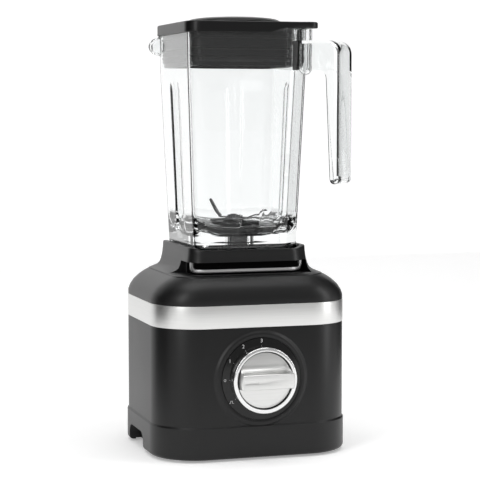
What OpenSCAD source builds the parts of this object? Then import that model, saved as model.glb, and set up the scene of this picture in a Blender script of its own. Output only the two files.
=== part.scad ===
// Countertop blender: a square base with a motor and a rotary switch, a clear five-sided jar with
// a channel handle, a blade set and a plug-in lid with a cap.
// Frame: Z up, the counter at Z 0, X to the right, the dial faces -Y.
// Each piece is drawn about the motor axis, and on_axis() moves it so that the frame's
// origin is the bottom centre of the whole blender.

/* [Base] */
// Width of the lower housing
base_w = 180; // [150:1:220]
// Depth of the lower housing
base_d = 160; // [135:1:195]
// Corner radius of the lower housing, seen from above
base_r = 42; // [30:1:50]
// Wall of the housings
base_wall = 3; // [2:0.25:4]
// Height of the lower housing's top edge, where the metal band starts
housing_h = 118.5; // [105:0.5:142]
// Height of the plinth around the foot
plinth_h = 30; // [24:1:34]
// How far the plinth stands out of the wall
plinth_out = 1.2; // [0.5:0.1:2]
// Length of the finger pocket in each side of the plinth
pocket_w = 50; // [40:1:60]
// Height of the finger pockets
pocket_h = 16; // [12:0.5:20]
// Depth of the finger pockets
pocket_deep = 11; // [8:0.5:14]
// Height of the metal band
band_h = 20; // [14:0.5:26]
// Thickness of the metal band
band_t = 1.6; // [1:0.1:2.4]
// Height of the rubber feet under the housing
foot_h = 3; // [2:0.5:5]
// Radius of a rubber foot
foot_r = 9; // [7:0.5:11]

/* [Jar seat] */
// Height of the shoulder over the band, up to the neck
shoulder_h = 24; // [18:1:30]
// Height of the neck over the shoulder
neck_h = 25; // [20:1:32]
// Width of the neck, across its flats
neck_w = 112; // [108:1:120]
// Wall of the neck
neck_wall = 4.5; // [4:0.25:6]
// Height of the slot in front of the neck
slot_h = 11; // [7:0.5:14]
// Depth of the slot
slot_deep = 3; // [2.2:0.1:3.5]

/* [Jar] */
// Height of the jar, from its seat to its rim
jar_h = 213.5; // [175:0.5:256]
// Width of the jar across its flats at the rim
jar_rim_w = 116; // [112:1:126]
// Clearance between the jar's foot and the inside of the neck
foot_gap = 1.5; // [1:0.25:6.5]
// Wall of the jar
jar_wall = 3.2; // [2.5:0.1:4]
// Corner radius of the jar
jar_r = 12; // [9:0.5:16]
// Leg of the flat corner that carries the handle
corner_cut = 19; // [17:1:25]
// Height of the open skirt under the jar's floor
skirt_h = 21; // [19:0.5:26]
// How far the pouring lip stands out of its corner
lip_out = 12; // [6:0.5:15]

/* [Handle] */
// Distance from the jar's axis to the outside of the handle
handle_reach = 111.5; // [106:0.5:116]
// Width of the handle
handle_w = 28; // [22:0.5:32]
// Thickness of the grip, inside to outside
grip_t = 12.5; // [10:0.5:16]
// Height of the arm that joins the grip to the jar
arm_h = 26; // [20:1:34]
// Length of the handle, top to tip
handle_len = 127; // [100:1:152]
// Wall of the handle's channel
handle_wall = 3; // [2:0.25:4]

/* [Lid] */
// Overhang of the lid past the jar's rim
lid_over = 2; // [1.5:0.25:4]
// Thickness of the lid's plate
lid_t = 5.5; // [4:0.5:8]
// How far the lid's corner over the handle stands out
tab_out = 5.5; // [3:0.5:7]
// Depth of the rim around the jar, under the plate
lid_rim = 4.5; // [3:0.5:7]
// Depth of the lid's plug inside the jar
plug_h = 34; // [26:1:42]
// Radius of the filling hole in the lid
fill_r = 30; // [24:0.5:34]
// Radius of the cap over the filling hole
cap_r = 43; // [38:0.5:48]
// Rise of the cap over the lid
cap_h = 6; // [4:0.5:9]

/* [Dial] */
// Height of the dial's centre over the counter
dial_z = 73; // [68:0.5:78]
// Radius of the dial plate
dial_r = 36.5; // [33:0.5:38]
// Radius of the knob
knob_r = 29.3; // [26:0.1:31]
// Depth of the knob, from the dial plate to its ring
knob_deep = 11.5; // [8:0.5:16]
// How far the grip bar stands out of the knob's ring
bar_out = 8.5; // [3:0.5:11]
// Wall of the knob's ring
ring_wall = 3.6; // [2:0.1:5]
// Width of the grip bar
bar_w = 13; // [10:0.5:16]

/* [Drive] */
// Radius of the motor shaft
shaft_r = 4; // [3:0.25:5]
// Radius of the blade shaft
spindle_r = 3.5; // [3:0.25:4]
// Radius of the rotor's iron core
rotor_r = 22; // [18:0.5:25]
// Height of the motor's iron
iron_h = 40; // [32:1:48]
// Side of the stator
stator_w = 82; // [70:1:92]
// Length of a cutting arm, from the axis
blade_len = 31; // [24:0.5:36]
// Thickness of the blade steel
blade_t = 1.8; // [1.2:0.1:2.4]

/* [Hidden] */
// The one part to draw, or all of them

// Segments of a quarter turn in an outline, and of a full circle
corner_n = 8;
$fn = 48;

fit = 0.3;          // clearance between pieces that slip together
running = 0.05;     // radial clearance of a shaft in its bearing
eps = 0.01;

shell_z = 2;                            // underside of the lower housing's wall
shell_in = base_wall + band_t + fit;    // from the base's outline to the inside of its wall
band_top = housing_h + band_h;
dome_z = band_top;
neck_z = band_top + shoulder_h;         // foot of the neck
neck_top = neck_z + neck_h;
seat_t = 3;
seat_z = neck_top - 19.5;               // top of the seat floor that the jar stands on
seat_hole_r = 15;
slot_top = neck_top - 13;
slot_z = slot_top - slot_h;
neck_r = 14;
neck_cut = corner_cut - 4;
well_w = neck_w - 2 * neck_wall;
jar_foot_w = well_w - 2 * foot_gap;

dial_lift = 2.2;                        // rise of the round pad under the dial
pad_r = dial_r + 5.5;
plate_t = 1.5;
dial_y = -base_d / 2 - dial_lift;       // face of the dial
ring_y = dial_y - 0.5 - knob_deep;
knob_y = ring_y - bar_out;              // front of the grip bar
face_sink = 2.5;                        // how deep the knob's face lies inside its ring
face_t = 2;
face_r = knob_r - ring_wall - 1.1;      // the dark gap between the ring and the face is 1.1 wide
face_y = ring_y + face_sink;
bore_r = 3.2;                           // switch shaft's way through the housing

axis_y = (-knob_y - base_d / 2 - plinth_out) / 2;   // the motor axis, measured from the origin

jar_z = seat_z + 0.5;
jar_top = jar_z + jar_h;
floor_z = jar_z + skirt_h;              // underside of the jar's floor
floor_t = 6;
bowl_z = floor_z + floor_t;
bowl_h = 11;
rim_zone = 38;                          // the nearly upright stretch under the rim
rim_zone_w = jar_rim_w - 1.5;
jar_hole_r = 14;
jar_inner_r = jar_r - jar_wall + 1;

handle_top = jar_top - 11;
handle_inner = handle_reach - grip_t;
face_rho = jar_rim_w / sqrt(2) - corner_cut / sqrt(2);   // distance from the axis to the flat corner

lid_z = jar_top + 0.4;                  // underside of the lid's plate
lid_w = jar_rim_w + 2 * lid_over;
lid_top = lid_z + lid_t;
plug_w = rim_zone_w - 2 * jar_wall - 2.6;
plug_wall = 2.4;
seal_t = 0.8;

iron_z = 60;
shaft_z = 14;
bearing_r = 11;
bearing_h = 7;
upper_z = iron_z + iron_h + 14;         // underside of the upper bracket
bracket_t = 6;
lower_z = 36;                           // underside of the lower bracket
boss_drop = 1;                          // how far the lower bracket's boss stands below its arms
bolt_at = stator_w / 2 - 7;
post_at = bolt_at - 11;                 // the bolts' nuts clear the posts
isolator_h = 5;
coupler_z = seat_z + 1.2;
coupler_h = 9;
shaft_top = coupler_z + coupler_h;
tooth_n = 6;

hub_r = 8;
bush_r = 6;
bush_h = 8;
housing_flange_r = 21;
housing_neck_h = 3;
gasket_t = 1;
blade_z = bowl_z + gasket_t + 3 + housing_neck_h + 1;    // underside of the lower blade
spacer_t = 1;
spindle_z = coupler_z + coupler_h + 1.5;

boss_r = 5;
boss_at = base_r - shell_in - boss_r + 1.2;
screw_r = 1.5;
foot_x = base_w / 2 - 28;
foot_y = base_d / 2 - 30;
pocket_y = 10;                          // middle of a finger pocket
board_x = stator_w / 2 + 19;

// ---- outlines and lofts ----

function arc(cx, cy, r, from, to, n) =
    [for (i = [0:n]) let (a = from + (to - from) * i / n) [cx + r * cos(a), cy + r * sin(a)]];

// A round corner that swells outwards in its middle
function lip_arc(cx, cy, r, lip, from, n) =
    [for (i = [0:n]) let (a = from + 90 * i / n, s = r + lip * pow(sin(180 * i / n), 1.5))
        [cx + s * cos(a), cy + s * sin(a)]];

// A rectangle with round corners, the one at the front right cut flat by a leg of cut
// and the one at the back left swollen into a lip
function outline(w, d, r, cut = 0, lip = 0) =
    let (e = max(r + 0.3, cut + r * tan(22.5)), h = corner_n / 2)
    concat(
        arc(w / 2 - e, -d / 2 + r, r, -90, -45, h),
        arc(w / 2 - r, -d / 2 + e, r, -45, 0, h),
        arc(w / 2 - r, d / 2 - r, r, 0, 90, corner_n),
        lip_arc(-w / 2 + r, d / 2 - r, r, lip, 90, corner_n),
        arc(-w / 2 + r, -d / 2 + r, r, 180, 270, corner_n)
    );

// A square with round corners, the one at the front right swollen into a tab
function tab_outline(w, r) = concat(
    lip_arc(w / 2 - r, -w / 2 + r, r, tab_out, -90, 2 * corner_n),
    arc(w / 2 - r, w / 2 - r, r, 0, 90, corner_n),
    arc(-w / 2 + r, w / 2 - r, r, 90, 180, corner_n),
    arc(-w / 2 + r, -w / 2 + r, r, 180, 270, corner_n)
);

// A circle with as many points as an outline has
function round_ring(r) = outline(2 * r, 2 * r, r - 0.4);

// A solid skinned over rings of [z, points]. A closed one runs back into its first ring.
module loft(rings, closed = false) {
    n = len(rings[0][1]);
    m = len(rings);
    last = closed ? m : m - 1;
    points = [for (ring = rings) for (p = ring[1]) [p[0], p[1], ring[0]]];
    sides = [for (k = [0:last - 1]) for (i = [0:n - 1])
        let (a = k * n + i, b = k * n + (i + 1) % n, c = ((k + 1) % m) * n + i, d = ((k + 1) % m) * n + (i + 1) % n)
        each [[a, c, d], [a, d, b]]];
    caps = closed ? [] : [[for (i = [0:n - 1]) i], [for (i = [n - 1:-1:0]) (m - 1) * n + i]];
    polyhedron(points = points, faces = concat(sides, caps), convexity = 6);
}

module plate(points, z, h) {
    translate([0, 0, z]) linear_extrude(h) polygon(points);
}

module tube(outer, inner, z, h) {
    difference() {
        plate(outer, z, h);
        plate(inner, z - 1, h + 2);
    }
}

module disc(r, z, h, hole = 0) {
    translate([0, 0, z]) difference() {
        cylinder(r = r, h = h);
        if (hole > 0) translate([0, 0, -1]) cylinder(r = hole, h = h + 2);
    }
}

module on_axis() {
    translate([0, axis_y, 0]) children();
}

module at_corners(x, y) {
    for (sx = [-1, 1]) for (sy = [-1, 1]) translate([sx * x, sy * y, 0]) children();
}

// A cylinder along -Y, from y to y - h, on the dial's axis
module dial_cylinder(r1, r2, y, h) {
    translate([0, y, dial_z]) rotate([90, 0, 0]) cylinder(r1 = r1, r2 = r2, h = h);
}

// ---- base ----

function housing_outline(inset) = outline(base_w - 2 * inset, base_d - 2 * inset, base_r - inset);

boss_x = base_w / 2 - base_r + boss_at * cos(45);
boss_y = base_d / 2 - base_r + boss_at * sin(45);
plate_z0 = foot_h;
base_plate_t = 2.5;
boss_z = plate_z0 + base_plate_t;
boss_h = 26;
plate_screw_h = 16;

module pockets(grow) {
    deep = pocket_deep + grow;
    for (sx = [-1, 1])
        translate([sx * (base_w / 2 + plinth_out + 1 - (deep + 1) / 2), pocket_y, shell_z - 1])
            linear_extrude(pocket_h + 1 + grow)
                square([deep + 1, pocket_w + 2 * grow], center = true);
}

module lower_housing() {
    band_in = band_t + fit;
    color([0.07, 0.07, 0.07]) on_axis() difference() {
        union() {
            difference() {
                union() {
                    plate(housing_outline(-plinth_out), shell_z, plinth_h - shell_z);
                    plate(housing_outline(0), plinth_h - 1, housing_h - plinth_h + 1);
                    plate(housing_outline(band_in), housing_h - 1, band_h + 1);
                    dial_cylinder(pad_r + 2, pad_r - 1.5, -base_d / 2 + 1, dial_lift + 1);
                }
                plate(housing_outline(shell_in), shell_z - 1, band_top + 2);
            }
            intersection() {
                union() {
                    at_corners(boss_x, boss_y) disc(boss_r, boss_z, boss_h);
                    pockets(base_wall);
                }
                plate(housing_outline(base_wall), shell_z, plinth_h + 5);
            }
        }
        at_corners(boss_x, boss_y) disc(screw_r + 0.1, boss_z - 1, plate_screw_h);
        pockets(0);
        dial_cylinder(dial_r + 0.2, dial_r + 0.2, dial_y + plate_t, plate_t + 1);
        dial_cylinder(bore_r, bore_r, -base_d / 2 + shell_in + 1, shell_in + dial_lift);
        translate([0, base_d / 2 + plinth_out + 1, gland_z]) rotate([90, 0, 0])
            cylinder(r = gland_r, h = shell_in + plinth_out + 2);
    }
}

module metal_band() {
    color([0.72, 0.72, 0.71]) on_axis()
        tube(housing_outline(-0.3), housing_outline(band_t), housing_h, band_h);
}

// Width, depth, corner radius and corner cut of the top housing at each height
function dome_ring(z, inset) = let (
        k = (z - dome_z) / (neck_z - dome_z),
        run = 1 - sqrt(max(0, 1 - pow(min(1, k) * 0.985, 2.2))),
        w = base_w + (shoulder_w - base_w) * run,
        d = base_d + (shoulder_d - base_d) * run,
        r = base_r + (shoulder_r - base_r) * run)
    [z, outline(w - 2 * inset, d - 2 * inset, r - inset)];

shoulder_w = neck_w + 30;
shoulder_d = neck_w + 20;
shoulder_r = neck_r + 12;

// The flare from the shoulder up into the neck, a quarter turn
function flare_ring(a, inset) = let (k = 1 - sin(a))
    [neck_z + 1 + (slot_top - neck_z - 2) * (1 - cos(a)),
     outline(neck_w + (shoulder_w - neck_w) * k - 2 * inset, neck_w + (shoulder_d - neck_w) * k - 2 * inset,
        neck_r + (shoulder_r - neck_r) * k - inset, neck_cut * (1 - k))];

function neck_outline(inset) = outline(neck_w - 2 * inset, neck_w - 2 * inset, neck_r - inset,
    neck_cut - inset * 0.6);

dome_steps = 6;
flare_steps = 4;

// The stretch around the neck's front that the slot takes
module slot_sector(inset) {
    translate([-neck_w / 2 - 5, -neck_w / 2 - 30]) square([neck_w / 2 + 5, 30 + neck_r]);
    translate([-1, -neck_w / 2 - 30]) square([neck_w / 2 - neck_cut / 2 + inset, 30 + neck_cut * 0.75]);
}

module slot_cut() {
    translate([0, 0, slot_z]) linear_extrude(slot_h) difference() {
        slot_sector(2);
        polygon(neck_outline(slot_deep));
    }
}

module top_housing() {
    outer = concat(
        [for (i = [0:dome_steps]) dome_ring(dome_z + (neck_z - dome_z) * sin(90 * i / dome_steps), 0)],
        [for (i = [0:flare_steps]) flare_ring(90 * i / flare_steps, 0)],
        [[neck_top, neck_outline(0)]]);
    inner = concat(
        [[neck_top, neck_outline(neck_wall)], [seat_z, neck_outline(neck_wall)],
         [seat_z, round_ring(seat_hole_r)], [seat_z - seat_t, round_ring(seat_hole_r)],
         [seat_z - seat_t, outline(neck_w - 26, neck_w - 26, neck_r, neck_cut / 2)]],
        [for (i = [dome_steps - 1:-1:0])
            dome_ring(dome_z + (neck_z - 5 - dome_z) * sin(90 * i / dome_steps), base_wall)]);
    color([0.08, 0.08, 0.08]) on_axis() difference() {
        loft(concat(outer, inner), closed = true);
        slot_cut();
        at_corners(post_at, post_at) disc(2.2, seat_z - seat_t - 1, seat_t + 2);
    }
}

trim_t = 1.2;
trim_bar = 2.6;
trim_z = slot_z + 1.2;

module slot_trim() {
    color([0.6, 0.6, 0.6]) on_axis() difference() {
        translate([0, 0, trim_z]) linear_extrude(slot_top - trim_z) difference() {
            intersection() {
                slot_sector(-2);
                polygon(neck_outline(slot_deep - trim_t));
            }
            polygon(neck_outline(slot_deep));
        }
        translate([-neck_w / 2 + 5, -neck_w, trim_z + trim_bar])
            cube([neck_w - neck_cut / 2 - 8, neck_w, slot_h]);
    }
}

module base_plate() {
    color([0.12, 0.12, 0.12]) on_axis() difference() {
        plate(housing_outline(shell_in + fit), plate_z0, base_plate_t);
        pockets(base_wall + fit);
        at_corners(boss_x, boss_y) disc(screw_r + 0.3, 0, 10);
        at_corners(foot_x, foot_y) disc(3, 0, 10);
        for (i = [-4:4]) translate([i * 8 - 1.75, -22, 0]) cube([3.5, 44, 10]);
    }
}

module plate_screws() {
    color([0.55, 0.55, 0.57]) on_axis() at_corners(boss_x, boss_y) {
        difference() {
            disc(3.2, plate_z0 - 2, 2);
            for (a = [0, 90]) rotate(a) translate([-2, -0.4, plate_z0 - 3]) cube([4, 0.8, 2]);
        }
        disc(screw_r, plate_z0 - eps, plate_screw_h - 1);
    }
}

module rubber_feet() {
    color([0.15, 0.15, 0.15]) on_axis() at_corners(foot_x, foot_y) {
        cylinder(r1 = foot_r - 0.8, r2 = foot_r, h = foot_h);
        disc(2.9, foot_h - eps, 4);
        disc(4, foot_h + base_plate_t + 0.1, 1.4);
    }
}

gland_z = 22;
gland_r = 6;
gland_bore_r = 3.6;
gland_flange = 3.5;

module cord_gland() {
    through = shell_in + plinth_out;
    color([0.1, 0.1, 0.1]) on_axis() translate([0, base_d / 2 + plinth_out, gland_z]) rotate([90, 0, 0])
        difference() {
            union() {
                cylinder(r = gland_r - 0.1, h = through + gland_flange);
                translate([0, 0, through]) cylinder(r = gland_r + 2, h = gland_flange);
            }
            translate([0, 0, -1]) cylinder(r = gland_bore_r, h = through + gland_flange + 2);
        }
}

// ---- motor ----

module motor_upper_bracket() {
    color([0.75, 0.75, 0.76]) on_axis() difference() {
        union() {
            disc(bearing_r + 5, upper_z, bearing_h + 3);
            for (a = [45:90:315]) rotate(a) translate([0, -7, upper_z]) cube([bolt_at * sqrt(2) + 7, 14, bracket_t]);
            at_corners(post_at, post_at) disc(5, upper_z, seat_z - seat_t - isolator_h - upper_z);
        }
        disc(bearing_r, upper_z - 1, bearing_h + 1);
        disc(shaft_r + 2, upper_z, bearing_h + 5);
        at_corners(bolt_at, bolt_at) disc(2.2, upper_z - 1, bracket_t + 2);
        at_corners(post_at, post_at) disc(1.6, seat_z - seat_t - isolator_h - 14, 15);
    }
}

module motor_lower_bracket() {
    color([0.75, 0.75, 0.76]) on_axis() difference() {
        union() {
            disc(bearing_r + 5, lower_z - boss_drop, bearing_h + 3 + boss_drop);
            for (a = [45:90:315]) rotate(a) translate([0, -7, lower_z]) cube([bolt_at * sqrt(2) + 7, 14, bracket_t]);
            at_corners(bolt_at, bolt_at) disc(4.5, lower_z + bracket_t / 2, iron_z - lower_z - bracket_t / 2);
        }
        disc(bearing_r, lower_z + 3, bearing_h + 1);
        disc(shaft_r + 2, lower_z - boss_drop - 1, 10);
        at_corners(bolt_at, bolt_at) disc(2.2, lower_z - 1, iron_z);
    }
}

module bracket_bolts() {
    color([0.6, 0.6, 0.62]) on_axis() at_corners(bolt_at, bolt_at) {
        disc(2, lower_z, upper_z + bracket_t - lower_z);
        translate([0, 0, upper_z + bracket_t]) cylinder(r = 4, h = 3, $fn = 6);
        translate([0, 0, lower_z - 3]) cylinder(r = 4, h = 3, $fn = 6);
        disc(4, iron_z + iron_h, upper_z - iron_z - iron_h, 2.2);
    }
}

module motor_isolators() {
    color([0.2, 0.2, 0.2]) on_axis() at_corners(post_at, post_at)
        disc(6.5, seat_z - seat_t - isolator_h, isolator_h, 2.2);
}

module motor_screws() {
    color([0.6, 0.6, 0.62]) on_axis() at_corners(post_at, post_at) {
        disc(1.5, seat_z - seat_t - isolator_h - 10, seat_t + isolator_h + 10.2);
        disc(3.2, seat_z, 0.4);
    }
}

module stator_core() {
    color([0.45, 0.46, 0.48]) on_axis() difference() {
        plate(outline(stator_w, stator_w, 8), iron_z, iron_h);
        disc(rotor_r + 1, iron_z - 1, iron_h + 2);
        for (sx = [-1, 1]) translate([sx * (rotor_r + 4.5) - 5, -18, iron_z - 1]) cube([10, 36, iron_h + 2]);
        at_corners(bolt_at, bolt_at) disc(2.2, iron_z - 1, iron_h + 2);
    }
}

module field_coils() {
    color([0.62, 0.3, 0.14]) on_axis() for (sx = [-1, 1]) {
        translate([sx * (rotor_r + 6) - 2.8, -17, iron_z - 8]) cube([5.6, 34, iron_h + 16]);
        for (z = [iron_z - 9, iron_z + iron_h + 2])
            translate([sx * (rotor_r + 8) - 5, -15, z]) cube([10, 30, 7]);
    }
}

// A ball bearing, closed by a shield on each side
module bearing(z) {
    disc(bearing_r - running, z, bearing_h, bearing_r - 2.5);
    disc(bearing_r - 5, z, bearing_h, shaft_r + running);
    disc(bearing_r - 2.4, z + 0.5, bearing_h - 1, bearing_r - 5.1);
}

module upper_bearing() {
    color([0.7, 0.7, 0.72]) on_axis() bearing(upper_z);
}

module lower_bearing() {
    color([0.7, 0.7, 0.72]) on_axis() bearing(lower_z + 3);
}

module motor_shaft() {
    color([0.66, 0.66, 0.68]) on_axis() disc(shaft_r, shaft_z, shaft_top - shaft_z);
}

module rotor_core() {
    slots = 12;
    color([0.4, 0.4, 0.42]) on_axis() difference() {
        union() {
            disc(rotor_r, iron_z, iron_h);
            disc(rotor_r - 5, iron_z - 5, iron_h + 12);
        }
        for (k = [0:slots - 1]) rotate(k * 360 / slots)
            translate([rotor_r - 1.5, -0.8, iron_z - 1]) cube([4, 1.6, iron_h + 2]);
        disc(shaft_r + eps, iron_z - 6, iron_h + 20);
    }
}

commutator_r = 11;
commutator_z = lower_z + bearing_h + 3.5;
commutator_h = iron_z - 5.5 - commutator_z;

module commutator() {
    bars = 24;
    color([0.75, 0.42, 0.22]) on_axis() difference() {
        disc(commutator_r, commutator_z, commutator_h);
        for (k = [0:bars - 1]) rotate(k * 360 / bars)
            translate([commutator_r - 0.8, -0.25, commutator_z + 1]) cube([2, 0.5, commutator_h]);
        disc(shaft_r + eps, commutator_z - 1, commutator_h + 2);
    }
}

fan_r = 34;

module cooling_fan() {
    blades = 9;
    color([0.2, 0.2, 0.22]) on_axis() difference() {
        union() {
            disc(9, shaft_z + 4, 15);
            disc(fan_r, shaft_z + 4, 1.8);
            for (k = [0:blades - 1]) rotate(k * 360 / blades)
                translate([7, -0.8, shaft_z + 5]) rotate([0, 0, 14]) cube([fan_r - 9, 1.6, 11]);
        }
        disc(shaft_r + eps, shaft_z, 30);
    }
}

brush_z = commutator_z + commutator_h / 2;

module carbon_brushes() {
    color([0.12, 0.12, 0.13]) on_axis() for (a = [90, 270]) rotate(a)
        translate([commutator_r + 0.1, -2.5, brush_z - 2]) cube([12, 5, 4]);
}

module brush_holders() {
    color([0.78, 0.62, 0.3]) on_axis() for (a = [90, 270]) rotate(a) difference() {
        translate([commutator_r + 4, -4.2, brush_z - 3.4]) cube([18, 8.4, 6.8]);
        translate([commutator_r + 3, -2.6, brush_z - 2.1]) cube([20, 5.2, 4.2]);
    }
}

// A toothed disc. The teeth of the driver reach into the gaps of the cup over it.
module toothed(r, tooth, z, h) {
    disc(r, z, h);
    for (k = [0:tooth_n - 1]) rotate(k * 360 / tooth_n) translate([0, -tooth / 2, z]) cube([r + 3.4, tooth, h]);
}

module drive_coupler() {
    color([0.16, 0.16, 0.17]) on_axis() difference() {
        toothed(7, 4, coupler_z, coupler_h);
        disc(shaft_r + eps, coupler_z - 1, coupler_h + 2);
    }
}

module driven_coupler() {
    cup_z = coupler_z + 1;
    cup_h = floor_z - 5.5 - cup_z;
    color([0.14, 0.14, 0.15]) on_axis() difference() {
        disc(12.8, cup_z, cup_h);
        toothed(7 + 0.4, 4 + 0.8, cup_z - 1, coupler_h + 1);
        disc(spindle_r + eps, cup_z, cup_h + 2);
    }
}

module shaft_seal() {
    color([0.12, 0.12, 0.12]) on_axis() {
        disc(seat_hole_r - 0.6, seat_z - seat_t, seat_t, shaft_r + 0.6);
        disc(seat_hole_r + 3, seat_z - seat_t - 1.5, 1.5 - eps, shaft_r + 0.6);
    }
}

// ---- switch and electronics ----

switch_w = 26;
switch_y = -base_d / 2 + shell_in + 0.5;
switch_deep = 16;

module rotary_switch() {
    color([0.85, 0.83, 0.76]) on_axis() {
        difference() {
            union() {
                translate([-switch_w / 2, switch_y, dial_z - switch_w / 2]) cube([switch_w, switch_deep, switch_w]);
                for (k = [-2:2]) translate([k * 5 - 1, switch_y + switch_deep - eps, dial_z - 9]) cube([2, 5, 0.8]);
                for (k = [-2:2]) translate([k * 5 - 1, switch_y + switch_deep - eps, dial_z + 8]) cube([2, 5, 0.8]);
            }
            dial_cylinder(2.5 + running, 2.5 + running, switch_y + 12, 20);
        }
    }
}

module switch_washer() {
    color([0.7, 0.7, 0.72]) on_axis() difference() {
        dial_cylinder(5.5, 5.5, switch_y, 0.45);
        dial_cylinder(2.8, 2.8, switch_y + 1, 6);
    }
}

module switch_shaft() {
    color([0.68, 0.68, 0.7]) on_axis()
        dial_cylinder(2.5, 2.5, switch_y + 11, switch_y + 11 - face_y - face_t);
}

module control_board() {
    color([0.1, 0.32, 0.16]) on_axis() difference() {
        translate([board_x, -30, 44]) cube([1.6, 60, 56]);
        for (y = [-26, 26]) for (z = [48, 96])
            translate([board_x - 1, y, z]) rotate([0, 90, 0]) cylinder(r = 1.7, h = 4);
    }
}

module board_parts() {
    color([0.15, 0.15, 0.2]) on_axis() {
        translate([board_x - 12, -10, 60]) rotate([0, 90, 0]) cylinder(r = 6, h = 12 - eps);
        translate([board_x - 12, 8, 60]) rotate([0, 90, 0]) cylinder(r = 6, h = 12 - eps);
        translate([board_x - 5, -22, 78]) cube([5 - eps, 15, 10]);
        translate([board_x - 9, 2, 76]) cube([9 - eps, 18, 14]);
        for (k = [0:2]) translate([board_x - 4, -24 + k * 6, 50]) cube([4 - eps, 4, 5]);
    }
}

module board_posts() {
    color([0.1, 0.1, 0.1]) on_axis() for (y = [-26, 26]) for (z = [48, 96]) {
        translate([board_x + 1.6, y, z]) rotate([0, 90, 0])
            cylinder(r = 3, h = base_w / 2 - shell_in - board_x - 1.6);
        translate([board_x - 2, y, z]) rotate([0, 90, 0]) cylinder(r = 1.5, h = 5);
        translate([board_x - 2, y, z]) rotate([0, 90, 0]) cylinder(r = 2.8, h = 1.9);
    }
}

module dial_plate() {
    color([0.03, 0.03, 0.03]) on_axis() difference() {
        dial_cylinder(dial_r, dial_r, dial_y + plate_t, plate_t);
        dial_cylinder(bore_r, bore_r, dial_y + plate_t + 1, plate_t + 2);
    }
}

knob_back = dial_y - 0.8;

module knob_body() {
    depth = knob_back - face_y - face_t;
    color([0.05, 0.05, 0.05]) on_axis() {
        difference() {
            dial_cylinder(knob_r - ring_wall - 0.1, knob_r - ring_wall - 0.1, knob_back, depth);
            dial_cylinder(face_r - 2.5, face_r - 2.5, knob_back + 1, depth - 1.5);
            dial_cylinder(2.5 + running, 2.5 + running, knob_back, depth + 1);
        }
        difference() {
            dial_cylinder(5.5, 5.5, knob_back, depth - 1);
            dial_cylinder(2.5 + running, 2.5 + running, knob_back + 1, depth + 1);
        }
    }
}

module knob_ring() {
    color([0.8, 0.8, 0.8]) on_axis() difference() {
        dial_cylinder(knob_r, knob_r, knob_back, knob_back - ring_y);
        dial_cylinder(knob_r - ring_wall, knob_r - ring_wall, knob_back + 1, knob_deep + 3);
    }
}

module knob_face() {
    color([0.68, 0.68, 0.67]) on_axis() difference() {
        union() {
            dial_cylinder(face_r, face_r, face_y + face_t, face_t);
            intersection() {
                translate([-knob_r, knob_y, dial_z - bar_w / 2]) cube([2 * knob_r, face_y - knob_y + 1, bar_w]);
                dial_cylinder(face_r, face_r - 1.5, face_y + 1, face_y + 1 - knob_y);
            }
        }
        translate([3.5 - face_r, knob_y - 1, dial_z - 1.2]) cube([12, 1.5, 2.4]);
    }
}

// ---- jar ----

// Outside width of the jar at a height over its foot
function jar_w(h) = h > jar_h - rim_zone
    ? rim_zone_w + (jar_rim_w - rim_zone_w) * (h - jar_h + rim_zone) / rim_zone
    : jar_foot_w + (rim_zone_w - jar_foot_w) * h / (jar_h - rim_zone);

// The pouring lip swells in the last stretch under the rim
lip_h = 21;
function lip_at(h) = let (k = (h - (jar_h - lip_h)) / lip_h) k <= 0 ? 0 : lip_out * sqrt(sin(min(150, 165 * k)));

function jar_ring(h, inset = 0) = [jar_z + h, outline(jar_w(h) - 2 * inset, jar_w(h) - 2 * inset,
    inset > 0 ? jar_inner_r : jar_r, corner_cut - inset * 0.6, lip_at(h))];

jar_levels = [0, skirt_h, 90, jar_h - rim_zone, jar_h - 19, jar_h - 16, jar_h - 12, jar_h - 8, jar_h - 4, jar_h];

module jar_body() {
    outer = [for (h = jar_levels) jar_ring(h)];
    inner = [for (i = [len(jar_levels) - 1:-1:2]) jar_ring(jar_levels[i], jar_wall)];
    bowl_top = skirt_h + floor_t + bowl_h;
    bowl = [for (a = [0:22.5:90]) let (
            w = jar_w(bowl_top) - 2 * jar_wall - 34 * (1 - cos(a)))
        [jar_z + bowl_top - bowl_h * sin(a), outline(w, w, jar_inner_r + 16 * (1 - cos(a)), corner_cut - 2)]];
    under = [[bowl_z, round_ring(jar_hole_r)], [floor_z, round_ring(jar_hole_r)], jar_under(skirt_h), jar_under(0)];
    loft(concat(outer, inner, bowl, under), closed = true);
}

function jar_under(h) = [jar_z + h, outline(jar_w(h) - 2 * jar_wall, jar_w(h) - 2 * jar_wall, jar_inner_r,
    corner_cut - jar_wall * 0.6)];

// Side view of the handle, from the jar's flat corner outwards, with a margin taken off its outside
function handle_profile(m) = let (
        root = face_rho - 2, bend = 12, inner_bend = 9,
        low = handle_top - arm_h, tip = handle_top - handle_len)
    concat(
        [[root, low], [handle_inner - inner_bend, low]],
        arc(handle_inner - inner_bend, low - inner_bend, inner_bend, 90, 4, 6),
        arc(handle_inner + 4 + 4.5, tip + 5, 4.5, 175, 265, 4),
        arc(handle_reach - m - 4.5, tip + 5, 4.5 - m / 2, 275, 355, 4),
        arc(handle_reach - m - bend, handle_top - m - bend, bend, 0, 90, 8),
        [[root, handle_top - m]]);

module along_handle(w, off) {
    rotate(-45) translate([0, off + w / 2, 0]) rotate([90, 0, 0]) linear_extrude(w) children();
}

module jar_handle() {
    difference() {
        along_handle(handle_w, 0) polygon(handle_profile(0));
        along_handle(handle_w - 2 * handle_wall, 0) {
            difference() {
                translate([face_rho + 5, handle_top - handle_len + 2 * handle_wall])
                    square([handle_reach - handle_wall - face_rho - 5, handle_len - 3 * handle_wall]);
                translate([handle_reach - handle_wall - 12, handle_top - handle_wall - 12])
                    difference() {
                        square(13);
                        circle(r = 12);
                    }
            }
        }
    }
}

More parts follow.
